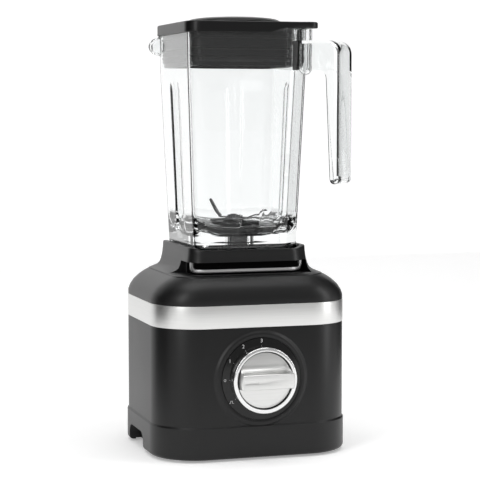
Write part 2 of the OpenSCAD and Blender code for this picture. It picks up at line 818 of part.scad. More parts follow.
module jar() {
    color([0.9, 0.93, 0.94, 0.3]) on_axis() {
        jar_body();
        jar_handle();
    }
}

module jar_gasket() {
    color([0.3, 0.3, 0.3]) on_axis() disc(housing_flange_r - 1, bowl_z + eps, gasket_t - 2 * eps, jar_hole_r);
}

module blade_housing() {
    color([0.2, 0.2, 0.21]) on_axis() difference() {
        union() {
            disc(housing_flange_r, bowl_z + gasket_t, 3);
            disc(jar_hole_r - 0.5, floor_z - 4.5, bowl_z + gasket_t - floor_z + 4.5 + eps);
            translate([0, 0, bowl_z + gasket_t + 3 - eps]) cylinder(r1 = 12, r2 = hub_r, h = housing_neck_h);
        }
        disc(bush_r, floor_z - 6, 60);
    }
}

module blade_bushes() {
    color([0.72, 0.5, 0.25]) on_axis() {
        disc(bush_r - eps, floor_z - 4.5, bush_h, spindle_r + running);
        disc(bush_r - eps, bowl_z + gasket_t + 3 + housing_neck_h - bush_h, bush_h, spindle_r + running);
    }
}

module jar_nut() {
    color([0.15, 0.15, 0.15]) on_axis() difference() {
        union() {
            disc(24, floor_z - 4, 4 - eps);
            for (k = [0:5]) rotate(k * 60) translate([21, -3, floor_z - 4]) cube([6, 6, 4 - eps]);
        }
        disc(jar_hole_r, floor_z - 6, 10);
    }
}

module blade_shaft() {
    color([0.72, 0.72, 0.74]) on_axis() disc(spindle_r, spindle_z, blade_z + 2 * blade_t + spacer_t + 4 - spindle_z);
}

// One cutting arm: flat out of the hub, then bent up or down along its length
module blade_arm(bend_at, rise, length, root, tip) {
    linear_extrude(blade_t)
        polygon([[0, -root / 2], [bend_at, -root / 2], [bend_at, root / 2], [0, root / 2]]);
    translate([bend_at, 0, 0]) rotate([0, -rise, 0]) linear_extrude(blade_t)
        polygon([[-0.8, -root / 2], [length - bend_at, -tip / 2 + 1.5], [length - bend_at + 1, tip / 2],
            [-0.8, root / 2]]);
}

module blade(z, turn, rise_a, rise_b, length) {
    translate([0, 0, z]) rotate(turn) difference() {
        union() {
            cylinder(r = hub_r, h = blade_t);
            blade_arm(hub_r + 3, rise_a, length, 11, 4);
            rotate(180) blade_arm(hub_r + 3, rise_b, length, 11, 4);
        }
        translate([0, 0, -1]) cylinder(r = spindle_r + eps, h = blade_t + 2);
    }
}

module lower_blade() {
    color([0.7, 0.7, 0.72]) on_axis() blade(blade_z, 205, -12, -8, blade_len + 3);
}

module upper_blade() {
    color([0.7, 0.7, 0.72]) on_axis() blade(blade_z + blade_t + spacer_t, 152, 62, 34, blade_len);
}

module blade_spacer() {
    color([0.6, 0.6, 0.62]) on_axis() {
        disc(hub_r - 1, blade_z + blade_t, spacer_t, spindle_r + eps);
        disc(hub_r - 2, blade_z - 0.8, 0.8, spindle_r + eps);
    }
}

module blade_nut() {
    color([0.74, 0.74, 0.75]) on_axis() difference() {
        translate([0, 0, blade_z + 2 * blade_t + spacer_t]) union() {
            cylinder(r = 6.5, h = 4, $fn = 6);
            cylinder(r1 = 5.4, r2 = 3, h = 6);
        }
        disc(spindle_r + eps, blade_z, 2 * blade_t + spacer_t + 4.2);
    }
}

// ---- lid ----

plug_z = lid_z - plug_h;
fin_levels = [8, 15, 25];               // heights of the sealing fins over the plug's foot

module lid() {
    socket_t = 2;
    plug_in = plug_w - 2 * seal_t;
    color([0.06, 0.06, 0.06]) on_axis() difference() {
        union() {
            plate(tab_outline(lid_w, jar_r + lid_over), lid_z, lid_t);
            tube(outline(lid_w, lid_w, jar_r + lid_over, corner_cut),
                outline(jar_rim_w + 2 * fit, jar_rim_w + 2 * fit, jar_r, corner_cut, lip_out), lid_z - lid_rim, lid_rim + eps);
            tube(outline(plug_in, plug_in, jar_inner_r, corner_cut - 3),
                outline(plug_in - 2 * plug_wall, plug_in - 2 * plug_wall, jar_inner_r - 2, corner_cut - 4),
                plug_z, plug_h + eps);
            disc(fill_r + socket_t, lid_z - 12, 12 + eps);
        }
        disc(fill_r, lid_z - 20, lid_t + 30);
    }
}

module lid_seal() {
    seal_z = plug_z + 4;
    seal_h = plug_h - 8;
    plug_in = plug_w - 2 * seal_t;
    color([0.1, 0.1, 0.1]) on_axis() difference() {
        union() {
            plate(outline(plug_w, plug_w, jar_inner_r, corner_cut - 3), seal_z, seal_h);
            for (h = fin_levels)
                plate(outline(plug_w + 1.6, plug_w + 1.6, jar_inner_r, corner_cut - 2.4), plug_z + h, 1.4);
        }
        plate(outline(plug_in, plug_in, jar_inner_r, corner_cut - 3), seal_z - 1, seal_h + 2);
    }
}

cap_plug_h = 14;

module cap() {
    color([0.06, 0.06, 0.06]) on_axis() difference() {
        union() {
            translate([0, 0, lid_top + fit]) rotate_extrude()
                polygon(concat([[0, 0], [cap_r, 0], [cap_r, 1]],
                    [for (a = [0:10:90]) [(cap_r - 2) * cos(a), 1.6 + (cap_h - 1.6) * sin(a)]]));
            disc(fill_r - fit - 0.5, lid_top - cap_plug_h, cap_plug_h + fit + eps);
        }
        disc(fill_r - 3, lid_top - cap_plug_h - 1, cap_plug_h);
    }
}

module cap_seal() {
    color([0.1, 0.1, 0.1]) on_axis()
        disc(fill_r - 0.2, lid_top - cap_plug_h + 3, 2, fill_r - fit - 0.5);
}

lower_housing();
metal_band();
top_housing();
slot_trim();
base_plate();
plate_screws();
rubber_feet();
cord_gland();
motor_upper_bracket();
motor_lower_bracket();
bracket_bolts();
motor_isolators();
motor_screws();
stator_core();
field_coils();
upper_bearing();
lower_bearing();
motor_shaft();
rotor_core();
commutator();
cooling_fan();
carbon_brushes();
brush_holders();
drive_coupler();
shaft_seal();
rotary_switch();
switch_washer();
control_board();
board_parts();
board_posts();
dial_plate();
switch_shaft();
knob_body();
knob_ring();
knob_face();
jar();
jar_gasket();
blade_housing();
jar_nut();
blade_bushes();
blade_shaft();
lower_blade();
upper_blade();
blade_spacer();
blade_nut();
driven_coupler();
lid();
lid_seal();
cap();
cap_seal();
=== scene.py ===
"""A countertop blender: the visible pieces and finishes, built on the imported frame."""

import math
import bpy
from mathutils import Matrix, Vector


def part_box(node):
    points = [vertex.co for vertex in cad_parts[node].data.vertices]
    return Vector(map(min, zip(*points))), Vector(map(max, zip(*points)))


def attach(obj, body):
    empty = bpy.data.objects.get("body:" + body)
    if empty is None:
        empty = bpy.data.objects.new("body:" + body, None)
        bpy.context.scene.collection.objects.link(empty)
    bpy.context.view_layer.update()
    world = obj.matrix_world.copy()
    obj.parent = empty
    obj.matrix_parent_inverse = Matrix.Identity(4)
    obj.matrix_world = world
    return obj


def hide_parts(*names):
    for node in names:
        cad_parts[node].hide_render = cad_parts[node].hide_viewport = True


bl_info = {
    "name": "Countertop blender",
    "version": (1, 0, 0),
    "blender": (4, 5, 0),
    "location": "View3D > Sidebar > Countertop blender",
    "description": "Builds the visible pieces and finishes of a countertop blender on its packed frame",
    "category": "Add Mesh",
}

import bmesh
import bpy
from mathutils import Matrix, Vector

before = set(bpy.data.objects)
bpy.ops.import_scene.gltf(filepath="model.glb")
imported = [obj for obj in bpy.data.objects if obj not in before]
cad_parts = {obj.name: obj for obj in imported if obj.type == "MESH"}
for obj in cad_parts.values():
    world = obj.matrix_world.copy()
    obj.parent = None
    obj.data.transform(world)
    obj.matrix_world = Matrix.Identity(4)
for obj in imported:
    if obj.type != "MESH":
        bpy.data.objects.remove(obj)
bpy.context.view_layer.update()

MM = 0.001
NEAR = 1e-5     # how close two heights are when they count as one
SAME = 1e-6     # how close two points are when they count as one


def low(node, axis):
    """The lowest coordinate of a node along an axis, 0 to 2."""
    return float(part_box(node)[0][axis])


def high(node, axis):
    """The highest coordinate of a node along an axis, 0 to 2."""
    return float(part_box(node)[1][axis])


AXIS_Y = (low("motor_shaft", 1) + high("motor_shaft", 1)) / 2
DIAL_Z = (low("dial_plate", 2) + high("dial_plate", 2)) / 2
DIAL_FACE = low("dial_plate", 1)
FOOT_Z = low("lower_housing", 2)
BAND_LOW = low("metal_band", 2)
BAND_TOP = high("metal_band", 2)
NECK_TOP = high("top_housing", 2)
JAR_FOOT = low("jar", 2)
JAR_TOP = high("jar", 2)
FLOOR_LOW = high("jar_nut", 2)
BOWL_Z = low("jar_gasket", 2)
LID_TOP = high("lid", 2)
PLUG_LOW = low("lid", 2)
CAP_TOP = high("cap", 2)


# ---- sizes that a user may change ----


def length(name, description, default):
    return bpy.props.FloatProperty(
        name=name, description=description, default=default, unit="LENGTH", min=0.0)


def colour(name, description, default):
    return bpy.props.FloatVectorProperty(
        name=name, description=description, subtype="COLOR", default=default)


class BaseSizes(bpy.types.PropertyGroup):
    """Sizes of the base's outside"""

    width: length("Width", "Width of the housing", high("metal_band", 0) - low("metal_band", 0) - 0.6 * MM)
    depth: length("Depth", "Depth of the housing", high("metal_band", 1) - low("metal_band", 1) - 0.6 * MM)
    corner: length("Corner radius", "Corner radius of the housing, seen from above", 42 * MM)
    wall: length("Wall", "Wall of the housing", 4.9 * MM)
    plinth: length("Plinth height", "Height of the line around the plinth", 30 * MM)
    plinth_out: length("Plinth step", "How far the plinth stands out", 1.2 * MM)
    neck: length("Neck width", "Width of the neck under the jar", 112 * MM)
    neck_corner: length("Neck corner", "Corner radius of the neck", 14.5 * MM)
    neck_cut: length("Neck corner cut", "Leg of the neck's flat corner", 15 * MM)


class DialSizes(bpy.types.PropertyGroup):
    """Sizes of the dial and its knob"""

    plate: length("Plate radius", "Radius of the dial plate", 36.5 * MM)
    pad: length("Pad radius", "Radius of the raised pad around the dial", 44.5 * MM)
    knob: length("Knob radius", "Radius of the knob's ring", (high("knob_ring", 0) - low("knob_ring", 0)) / 2)
    ring: length("Ring wall", "Wall of the knob's ring", 3.6 * MM)
    bar: length("Grip width", "Width of the grip bar", 13 * MM)
    digit: length("Digit height", "Height of the digits around the dial", 3.4 * MM)


class JarSizes(bpy.types.PropertyGroup):
    """Sizes of the jar and its handle"""

    foot: length("Foot width", "Width of the jar at its foot", 100 * MM)
    rim: length("Rim width", "Width of the jar at its rim", 116 * MM)
    shoulder: length("Upright zone", "Height of the nearly upright stretch under the rim", 38 * MM)
    wall: length("Wall", "Wall of the jar", 3.2 * MM)
    corner: length("Corner radius", "Corner radius of the jar", 12 * MM)
    cut: length("Corner cut", "Leg of the flat corner that carries the handle", 19 * MM)
    lip: length("Lip", "How far the pouring lip stands out", 13 * MM)
    flute_width: length("Flute width", "Width of the channel in each wall", 21 * MM)
    flute_depth: length("Flute depth", "Depth of the channel in each wall", 2.4 * MM)
    reach: length("Handle reach", "Distance from the jar's axis to the outside of the handle", 111.5 * MM)
    grip: length("Grip thickness", "Thickness of the grip, inside to outside", 12.5 * MM)
    handle_width: length("Handle width", "Width of the handle", 28 * MM)
    handle_wall: length("Handle wall", "Wall of the handle's channel", 2.6 * MM)


class LidSizes(bpy.types.PropertyGroup):
    """Sizes of the lid and its cap"""

    width: length("Width", "Width of the lid", 120 * MM)
    corner: length("Corner radius", "Corner radius of the lid", 15.5 * MM)
    tab: length("Tab", "How far the corner over the handle stands out", 5.5 * MM)
    rim: length("Rim depth", "Depth of the rim under the plate", 4.5 * MM)
    plate: length("Plate thickness", "Thickness of the lid's plate", 5.5 * MM)
    hole: length("Hole radius", "Radius of the filling hole", 30 * MM)
    cap: length("Cap radius", "Radius of the cap", 43 * MM)


class Finishes(bpy.types.PropertyGroup):
    """Colours of the main finishes"""

    body: colour("Body", "Colour of the housings", (0.0045, 0.0045, 0.0047))
    metal: colour("Metal", "Colour of the band and the knob", (0.74, 0.74, 0.73))
    lid: colour("Lid", "Colour of the lid and the cap", (0.004, 0.004, 0.0042))
    clear: colour("Jar", "Tint of the clear jar", (0.955, 0.965, 0.965))


# ---- modelling helpers ----


def deselect():
    if bpy.context.mode != "OBJECT":
        bpy.ops.object.mode_set(mode="OBJECT")
    bpy.ops.object.select_all(action="DESELECT")


def take(piece):
    """Makes a piece the only selected one, and the active one."""
    deselect()
    piece.select_set(True)
    bpy.context.view_layer.objects.active = piece


def edit(piece, mode="VERT"):
    """Opens a piece in edit mode with nothing selected."""
    take(piece)
    bpy.ops.object.mode_set(mode="EDIT")
    bpy.ops.mesh.select_mode(type=mode)
    bpy.ops.mesh.select_all(action="DESELECT")


def pick(piece, kind, test):
    """Selects the open mesh's verts, edges or faces that pass a test."""
    mesh = bmesh.from_edit_mesh(piece.data)
    for part in getattr(mesh, kind):
        if test(part):
            part.select_set(True)
    mesh.select_flush_mode()
    bmesh.update_edit_mesh(piece.data)


def middle(part):
    """The middle of an edge or a face."""
    return sum((v.co for v in part.verts), Vector()) / len(part.verts)


def upright(edge):
    a, b = (v.co for v in edge.verts)
    return abs(a.z - b.z) > NEAR and (a.xy - b.xy).length < SAME


def level_at(*heights):
    """A test for edges that lie at one of some heights."""
    return lambda edge: any(all(abs(v.co.z - z) < NEAR for v in edge.verts) for z in heights)


def named(name):
    piece = bpy.context.object
    piece.name = name
    piece.data.name = name
    return piece


def apply(piece, kind, **settings):
    """Adds a modifier to a piece and applies it."""
    take(piece)
    modifier = piece.modifiers.new(kind.title(), kind)
    for setting, value in settings.items():
        setattr(modifier, setting, value)
    bpy.ops.object.modifier_apply(modifier=modifier.name)


def combine(piece, tool, operation):
    """Unites, cuts or intersects a piece with a tool shape, which is then removed."""
    apply(piece, "BOOLEAN", object=tool, operation=operation, solver="EXACT")
    bpy.data.objects.remove(tool)


def cut(piece, tool):
    combine(piece, tool, "DIFFERENCE")


def soften(piece, width, segments, angle):
    """Bevels every edge that is sharper than an angle in degrees."""
    apply(piece, "BEVEL", width=width, segments=segments, limit_method="ANGLE",
          angle_limit=math.radians(angle))


def round_edges(piece, test, offset, segments, **settings):
    """Bevels the edges that pass a test."""
    edit(piece, "EDGE")
    pick(piece, "edges", test)
    bpy.ops.mesh.bevel(offset=offset, segments=segments, affect="EDGES", **settings)
    bpy.ops.object.mode_set(mode="OBJECT")


def settle():
    """Puts the active piece's place into its mesh."""
    bpy.ops.object.transform_apply(location=True, rotation=True, scale=True)


def in_mm(points):
    """Pairs given in millimetres, as metres."""
    return [(a * MM, b * MM) for a, b in points]


def tidy(piece):
    """Merges doubles and turns every face outwards."""
    edit(piece)
    bpy.ops.mesh.select_all(action="SELECT")
    bpy.ops.mesh.remove_doubles(threshold=SAME)
    bpy.ops.mesh.normals_make_consistent(inside=False)
    bpy.ops.object.mode_set(mode="OBJECT")


def done(piece, body, finish, nodes=(), smooth=35):
    """Puts a piece's place into its mesh, gives it its finish and ties it to its body."""
    take(piece)
    settle()
    bpy.ops.object.shade_smooth_by_angle(angle=math.radians(smooth))
    piece.data.materials.clear()
    piece.data.materials.append(finish)
    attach(piece, body)
    if nodes:
        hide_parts(*nodes)
    return piece


def slab(name, width, depth, radius, bottom, top, segments=20):
    """An upright block with round corners, about the blender's axis."""
    deselect()
    bpy.ops.mesh.primitive_cube_add(
        size=1, location=(0, AXIS_Y, (bottom + top) / 2), scale=(width, depth, top - bottom))
    piece = named(name)
    settle()
    round_edges(piece, upright, radius, segments, clamp_overlap=False)
    return piece


def block(name, lowest, highest):
    """A box between two corners, used as a cutting tool or a start."""
    deselect()
    centre = [(a + b) / 2 for a, b in zip(lowest, highest)]
    size = [b - a for a, b in zip(lowest, highest)]
    bpy.ops.mesh.primitive_cube_add(size=1, location=centre, scale=size)
    piece = named(name)
    settle()
    return piece


def from_points(name, points, edges=(), faces=()):
    mesh = bpy.data.meshes.new(name)
    mesh.from_pydata(points, edges, faces)
    piece = bpy.data.objects.new(name, mesh)
    bpy.context.scene.collection.objects.link(piece)
    return piece


def spun(name, profile, place, steps=96):
    """A profile of (radius, height) points spun a full turn about a place's Z axis."""
    points = [place @ Vector((r, 0, z)) for r, z in profile]
    piece = from_points(name, points, edges=[(i, i + 1) for i in range(len(points) - 1)])
    edit(piece)
    bpy.ops.mesh.select_all(action="SELECT")
    axis = place.to_3x3() @ Vector((0, 0, 1))
    bpy.ops.mesh.spin(steps=steps, angle=2 * math.pi, center=place.to_translation(), axis=axis, dupli=False)
    bpy.ops.object.mode_set(mode="OBJECT")
    tidy(piece)
    return piece


def upright_at(z=0.0):
    """The place of a piece that is spun about the blender's axis."""
    return Matrix.Translation((0, AXIS_Y, z))


def on_dial(y=0.0):
    """The place of a piece that is spun about the dial's axis: its Z points out of the dial."""
    return Matrix.Translation((0, DIAL_FACE - y, DIAL_Z)) @ Matrix.Rotation(math.radians(90), 4, "X")


def extruded(name, points, place, thickness):
    """A flat outline of (x, y) points, made a face and extruded along the place's Z, centred."""
    flat = [place @ Vector((x, y, -thickness / 2)) for x, y in points]
    piece = from_points(name, flat, faces=[list(range(len(flat)))])
    edit(piece, "FACE")
    bpy.ops.mesh.select_all(action="SELECT")
    along = place.to_3x3() @ Vector((0, 0, thickness))
    bpy.ops.mesh.extrude_region_move(TRANSFORM_OT_translate={"value": along})
    bpy.ops.object.mode_set(mode="OBJECT")
    tidy(piece)
    return piece


def arc(cx, cy, radius, start, sweep, steps, swell=0.0):
    """Points on a round corner, which may swell outwards in its middle."""
    points = []
    for i in range(steps + 1):
        angle = math.radians(start + sweep * i / steps)
        r = radius + swell * math.sin(math.pi * i / steps) ** 1.5
        points.append(Vector((cx + r * math.cos(angle), cy + r * math.sin(angle))))
    return points


def squarish(width, depth, radius, cut=0.0, lip=0.0, tab=0.0, turn=14, side=1):
    """A round-cornered outline. Its front right corner is cut flat or swells into a tab,
    and its back left corner swells into a lip. Each straight side has side steps."""
    w, d, r = width / 2, depth / 2, radius
    e = max(r + 0.15 * MM, cut + r * math.tan(math.radians(22.5)))
    if tab:
        front_right = arc(w - r, -d + r, r, -90, 90, turn + 1, tab)
    else:
        front_right = arc(w - e, -d + r, r, -90, 45, turn // 2) + arc(w - r, -d + e, r, -45, 45, turn // 2)
    corners = [
        arc(-w + r, -d + r, r, 180, 90, turn),
        front_right,
        arc(w - r, d - r, r, 0, 90, turn),
        arc(-w + r, d - r, r, 90, 90, turn, lip),
    ]
    points = []
    for corner, following in zip(corners, corners[1:] + corners[:1]):
        points += corner
        points += [corner[-1].lerp(following[0], i / side) for i in range(1, side)]
    return points


def ring(points, z):
    """An outline at a height, or with a height of its own at each point."""
    heights = z if isinstance(z, list) else [z] * len(points)
    return [(p[0], p[1] + AXIS_Y, h) for p, h in zip(points, heights)]


def skin(name, rings, closed=True):
    """A mesh skinned over rings of as many points each. A closed one runs back to its first ring,
    and an open one is capped."""
    count = len(rings[0])
    points = [p for one in rings for p in one]
    last = len(rings) if closed else len(rings) - 1
    faces = []
    for k in range(last):
        a, b = k * count, (k + 1) % len(rings) * count
        faces += [(a + i, a + (i + 1) % count, b + (i + 1) % count, b + i) for i in range(count)]
    if not closed:
        faces.append(list(range(count))[::-1])
        faces.append([(len(rings) - 1) * count + i for i in range(count)])
    piece = from_points(name, points, faces=faces)
    tidy(piece)
    return piece


def smooth_step(x):
    x = min(1.0, max(0.0, x))
    return x * x * (3 - 2 * x)


# ---- shader groups ----


COLOUR, NUMBER, VECTOR = "NodeSocketColor", "NodeSocketFloat", "NodeSocketVector"


def new_group(name, inputs, outputs):
    """A shader node group with named sockets: (name, kind, default) in, (name, kind) out.
    Gives the group and its input node's outputs."""
    group = bpy.data.node_groups.new(name, "ShaderNodeTree")
    for title, kind, default in inputs:
        group.interface.new_socket(name=title, in_out="INPUT", socket_type=kind).default_value = default
    for title, kind in outputs:
        group.interface.new_socket(name=title, in_out="OUTPUT", socket_type=kind)
    return group, group.nodes.new("NodeGroupInput").outputs


def add(group, kind, sockets, **settings):
    """Adds a node. Each of its sockets takes a value, or another node's output. Gives its outputs."""
    node = group.nodes.new(kind)
    for setting, value in settings.items():
        setattr(node, setting, value)
    for socket, value in sockets.items():
        if isinstance(value, bpy.types.NodeSocket):
            group.links.new(value, node.inputs[socket])
        else:
            node.inputs[socket].default_value = value
    return node.outputs


def add_math(group, operation, *values):
    return add(group, "ShaderNodeMath", dict(enumerate(values)), operation=operation)[0]


def add_noise(group, **sockets):
    """Noise on the piece's own coordinates, or on the vector given."""
    place = add(group, "ShaderNodeTexCoord", {})["Object"]
    return add(group, "ShaderNodeTexNoise", {"Vector": place, **sockets})["Fac"]


def add_tone(group, colour, amount, least, most):
    """A colour made darker and lighter by an amount from 0 to 1."""
    factor = add(group, "ShaderNodeMapRange", {"To Min": least, "To Max": most, "Value": amount})["Result"]
    return add(group, "ShaderNodeMix", {"Factor": 1.0, "A": colour, "B": factor},
               data_type="RGBA", blend_type="MULTIPLY")["Result"]


def add_bump(group, distance, depth, height):
    sockets = {"Distance": distance, "Strength": depth, "Height": height}
    return add(group, "ShaderNodeBump", sockets)["Normal"]


def moulded_group():
    """Fine moulded texture: slight unevenness of colour and gloss, and a fine grain."""
    group, given = new_group(
        "Moulded surface",
        [("Colour", COLOUR, (0.02, 0.02, 0.02, 1)), ("Gloss change", NUMBER, 0.06),
         ("Roughness", NUMBER, 0.4), ("Grain size", NUMBER, 1800.0), ("Grain depth", NUMBER, 0.05)],
        [("Colour", COLOUR), ("Roughness", NUMBER), ("Normal", VECTOR)])
    cloud = add_noise(group, Scale=14.0, Detail=4.0)
    grain = add_noise(group, Scale=given["Grain size"], Detail=2.0)
    shift = add_math(group, "MULTIPLY", add_math(group, "SUBTRACT", cloud, 0.5), given["Gloss change"])
    add(group, "NodeGroupOutput", {
        "Colour": add_tone(group, given["Colour"], cloud, 0.88, 1.12),
        "Roughness": add_math(group, "ADD", given["Roughness"], shift),
        "Normal": add_bump(group, 0.1 * MM, given["Grain depth"], grain)})
    return group


def brushed_group():
    """Metal brushed along one way: fine streaks in colour, gloss and height."""
    group, given = new_group(
        "Brushed metal",
        [("Colour", COLOUR, (0.7, 0.7, 0.7, 1)), ("Roughness", NUMBER, 0.3),
         ("Streaks", VECTOR, (30.0, 30.0, 2200.0)), ("Streak depth", NUMBER, 0.06)],
        [("Colour", COLOUR), ("Roughness", NUMBER), ("Normal", VECTOR)])
    place = add(group, "ShaderNodeTexCoord", {})["Object"]
    stretched = add(group, "ShaderNodeVectorMath", {0: place, 1: given["Streaks"]}, operation="MULTIPLY")[0]
    streak = add_noise(group, Vector=stretched, Scale=1.0, Detail=3.0)
    shift = add_math(group, "MULTIPLY_ADD", streak, 0.14, -0.07)
    add(group, "NodeGroupOutput", {
        "Colour": add_tone(group, given["Colour"], streak, 0.9, 1.08),
        "Roughness": add_math(group, "ADD", given["Roughness"], shift),
        "Normal": add_bump(group, 0.05 * MM, given["Streak depth"], streak)})
    return group


def waves_group():
    """The slight waviness of a clear moulded wall."""
    group, given = new_group(
        "Moulded waves", [("Size", NUMBER, 30.0), ("Depth", NUMBER, 0.05)], [("Normal", VECTOR)])
    wave = add_noise(group, Scale=given["Size"], Detail=1.0)
    add(group, "NodeGroupOutput", {"Normal": add_bump(group, 1.0 * MM, given["Depth"], wave)})
    return group


def stacked_group():
    """Thin sheets stacked upwards, or wire wound in layers: fine level ridges."""
    group, given = new_group(
        "Stacked layers",
        [("Colour", COLOUR, (0.3, 0.3, 0.3, 1)), ("Pitch", NUMBER, 1200.0), ("Depth", NUMBER, 0.5)],
        [("Colour", COLOUR), ("Normal", VECTOR)])
    place = add(group, "ShaderNodeTexCoord", {})["Object"]
    wave = add(group, "ShaderNodeTexWave", {"Distortion": 0.6, "Vector": place, "Scale": given["Pitch"]},
               bands_direction="Z")["Fac"]
    add(group, "NodeGroupOutput", {
        "Colour": add_tone(group, given["Colour"], wave, 0.7, 1.1),
        "Normal": add_bump(group, 0.2 * MM, given["Depth"], wave)})
    return group


def group_named(name, maker):
    return bpy.data.node_groups.get(name) or maker()


# ---- materials ----


def new_material(name, group, values, **constants):
    """A material whose Principled shader takes what the group puts out. Constants go on the shader's
    own sockets."""
    material = bpy.data.materials.new(name)
    material.use_nodes = True
    nodes, links = material.node_tree.nodes, material.node_tree.links
    shader = nodes["Principled BSDF"]
    for socket, value in constants.items():
        shader.inputs[socket.replace("_", " ").title().replace("Ior", "IOR")].default_value = value
    if group is None:
        return material
    surface = nodes.new("ShaderNodeGroup")
    surface.node_tree = group
    for socket, value in values.items():
        surface.inputs[socket].default_value = value
    for output in surface.outputs:
        target = {"Colour": "Base Color"}.get(output.name, output.name)
        links.new(output, shader.inputs[target])
    return material


def plastic(name, colour, roughness, depth=0.05, size=1800.0, change=0.06, **constants):
    values = {"Colour": (*colour, 1), "Roughness": roughness, "Grain depth": depth, "Grain size": size,
              "Gloss change": change}
    return new_material(name, group_named("Moulded surface", moulded_group), values, **constants)


def metal(name, colour, roughness, streaks=(30.0, 30.0, 2200.0), depth=0.06, **constants):
    values = {"Colour": (*colour, 1), "Roughness": roughness, "Streaks": streaks, "Streak depth": depth}
    return new_material(name, group_named("Brushed metal", brushed_group), values, metallic=1.0, **constants)


def layered(name, colour, pitch, depth, metallic, roughness):
    values = {"Colour": (*colour, 1), "Pitch": pitch, "Depth": depth}
    return new_material(
        name, group_named("Stacked layers", stacked_group), values, metallic=metallic, roughness=roughness)


def clear_plastic(name, tint):
    values = {"Size": 26.0, "Depth": 0.035}
    return new_material(
        name, group_named("Moulded waves", waves_group), values, base_color=(*tint, 1), roughness=0.0,
        ior=1.45, transmission_weight=1.0)


FINISH_MAKERS = {
    "satin black": lambda name, f: plastic(
        name, f.body, 0.36, depth=0.03, size=2400.0, specular_ior_level=0.36),
    "brushed band": lambda name, f: metal(name, f.metal, 0.36, (18.0, 18.0, 2600.0)),
    "trim satin": lambda name, f: metal(name, (0.5, 0.5, 0.5), 0.42, (40.0, 40.0, 1500.0)),
    "knob bright": lambda name, f: metal(name, (0.82, 0.82, 0.82), 0.16, (900.0, 60.0, 900.0), 0.02),
    "knob satin": lambda name, f: metal(name, f.metal, 0.36, (20.0, 20.0, 2400.0), 0.05),
    "dial gloss": lambda name, f: plastic(name, (0.002, 0.002, 0.0021), 0.14, 0.0, specular_ior_level=0.4),
    "print white": lambda name, f: plastic(name, (0.62, 0.62, 0.62), 0.5, 0.02),
    "clear jar": lambda name, f: clear_plastic(name, f.clear),
    "lid black": lambda name, f: plastic(name, f.lid, 0.3, depth=0.03, size=2000.0, specular_ior_level=0.28),
    "seal black": lambda name, f: plastic(
        name, (0.003, 0.003, 0.003), 0.34, depth=0.05, specular_ior_level=0.3),
    "hub dark": lambda name, f: plastic(name, (0.004, 0.004, 0.0045), 0.2, depth=0.02),
    "blade steel": lambda name, f: metal(name, (0.035, 0.035, 0.037), 0.38, (700.0, 700.0, 700.0), 0.12),
    "rubber": lambda name, f: plastic(name, (0.014, 0.014, 0.014), 0.7, depth=0.25, size=1200.0),
    "dark plastic": lambda name, f: plastic(name, (0.02, 0.02, 0.021), 0.5, depth=0.15, size=1500.0),
    "coupler": lambda name, f: plastic(name, (0.022, 0.022, 0.024), 0.45, depth=0.2, size=700.0),
    "screw steel": lambda name, f: metal(name, (0.5, 0.5, 0.52), 0.32, (300.0, 300.0, 300.0), 0.1),
    "ground steel": lambda name, f: metal(name, (0.6, 0.6, 0.62), 0.22, (60.0, 60.0, 3000.0), 0.08),
    "cast alloy": lambda name, f: plastic(name, (0.5, 0.5, 0.51), 0.48, 0.6, 500.0, metallic=1.0),
    "sheet iron": lambda name, f: layered(name, (0.22, 0.22, 0.24), 620.0, 0.5, 0.9, 0.45),
    "copper wire": lambda name, f: layered(name, (0.5, 0.2, 0.08), 420.0, 0.9, 1.0, 0.3),
    "brass": lambda name, f: metal(name, (0.7, 0.5, 0.24), 0.3, (400.0, 400.0, 400.0), 0.06),
    "carbon": lambda name, f: plastic(name, (0.02, 0.02, 0.02), 0.65, 0.4, 900.0),
    "switch ivory": lambda name, f: plastic(name, (0.62, 0.58, 0.48), 0.5, 0.15, 900.0),
    # painted shade: a near-black finish with almost no reflection, for the strip that stands for the shadow
    # in the slot
    "slot matt": lambda name, f: plastic(name, (0.001, 0.001, 0.001), 0.9, 0.0, specular_ior_level=0.05),
    "card black": lambda name, f: plastic(name, (0.02, 0.02, 0.02), 0.9, 0.0),
    "board green": lambda name, f: plastic(name, (0.015, 0.12, 0.04), 0.3, 0.1, 700.0),
}


def finish(name):
    """The material of that name, made on first use."""
    return bpy.data.materials.get(name) or FINISH_MAKERS[name](name, bpy.context.scene.blender_finishes)


NODE_FINISHES = {
    "dark plastic": ["base_plate", "cord_gland", "cooling_fan", "board_posts", "board_parts"],
    "screw steel": ["plate_screws", "bracket_bolts", "motor_screws", "switch_washer"],
    "rubber": ["rubber_feet", "motor_isolators", "shaft_seal", "jar_gasket", "cap_seal"],
    "cast alloy": ["motor_upper_bracket", "motor_lower_bracket"],
    "sheet iron": ["stator_core", "rotor_core"],
    "copper wire": ["field_coils", "commutator"],
    "ground steel": ["upper_bearing", "lower_bearing", "motor_shaft", "switch_shaft", "blade_shaft",
                     "blade_spacer"],
    "carbon": ["carbon_brushes"],
    "brass": ["brush_holders", "blade_bushes"],
    "switch ivory": ["rotary_switch"],
    "board green": ["control_board"],
    "coupler": ["drive_coupler", "driven_coupler", "jar_nut"],
}


# ---- base ----


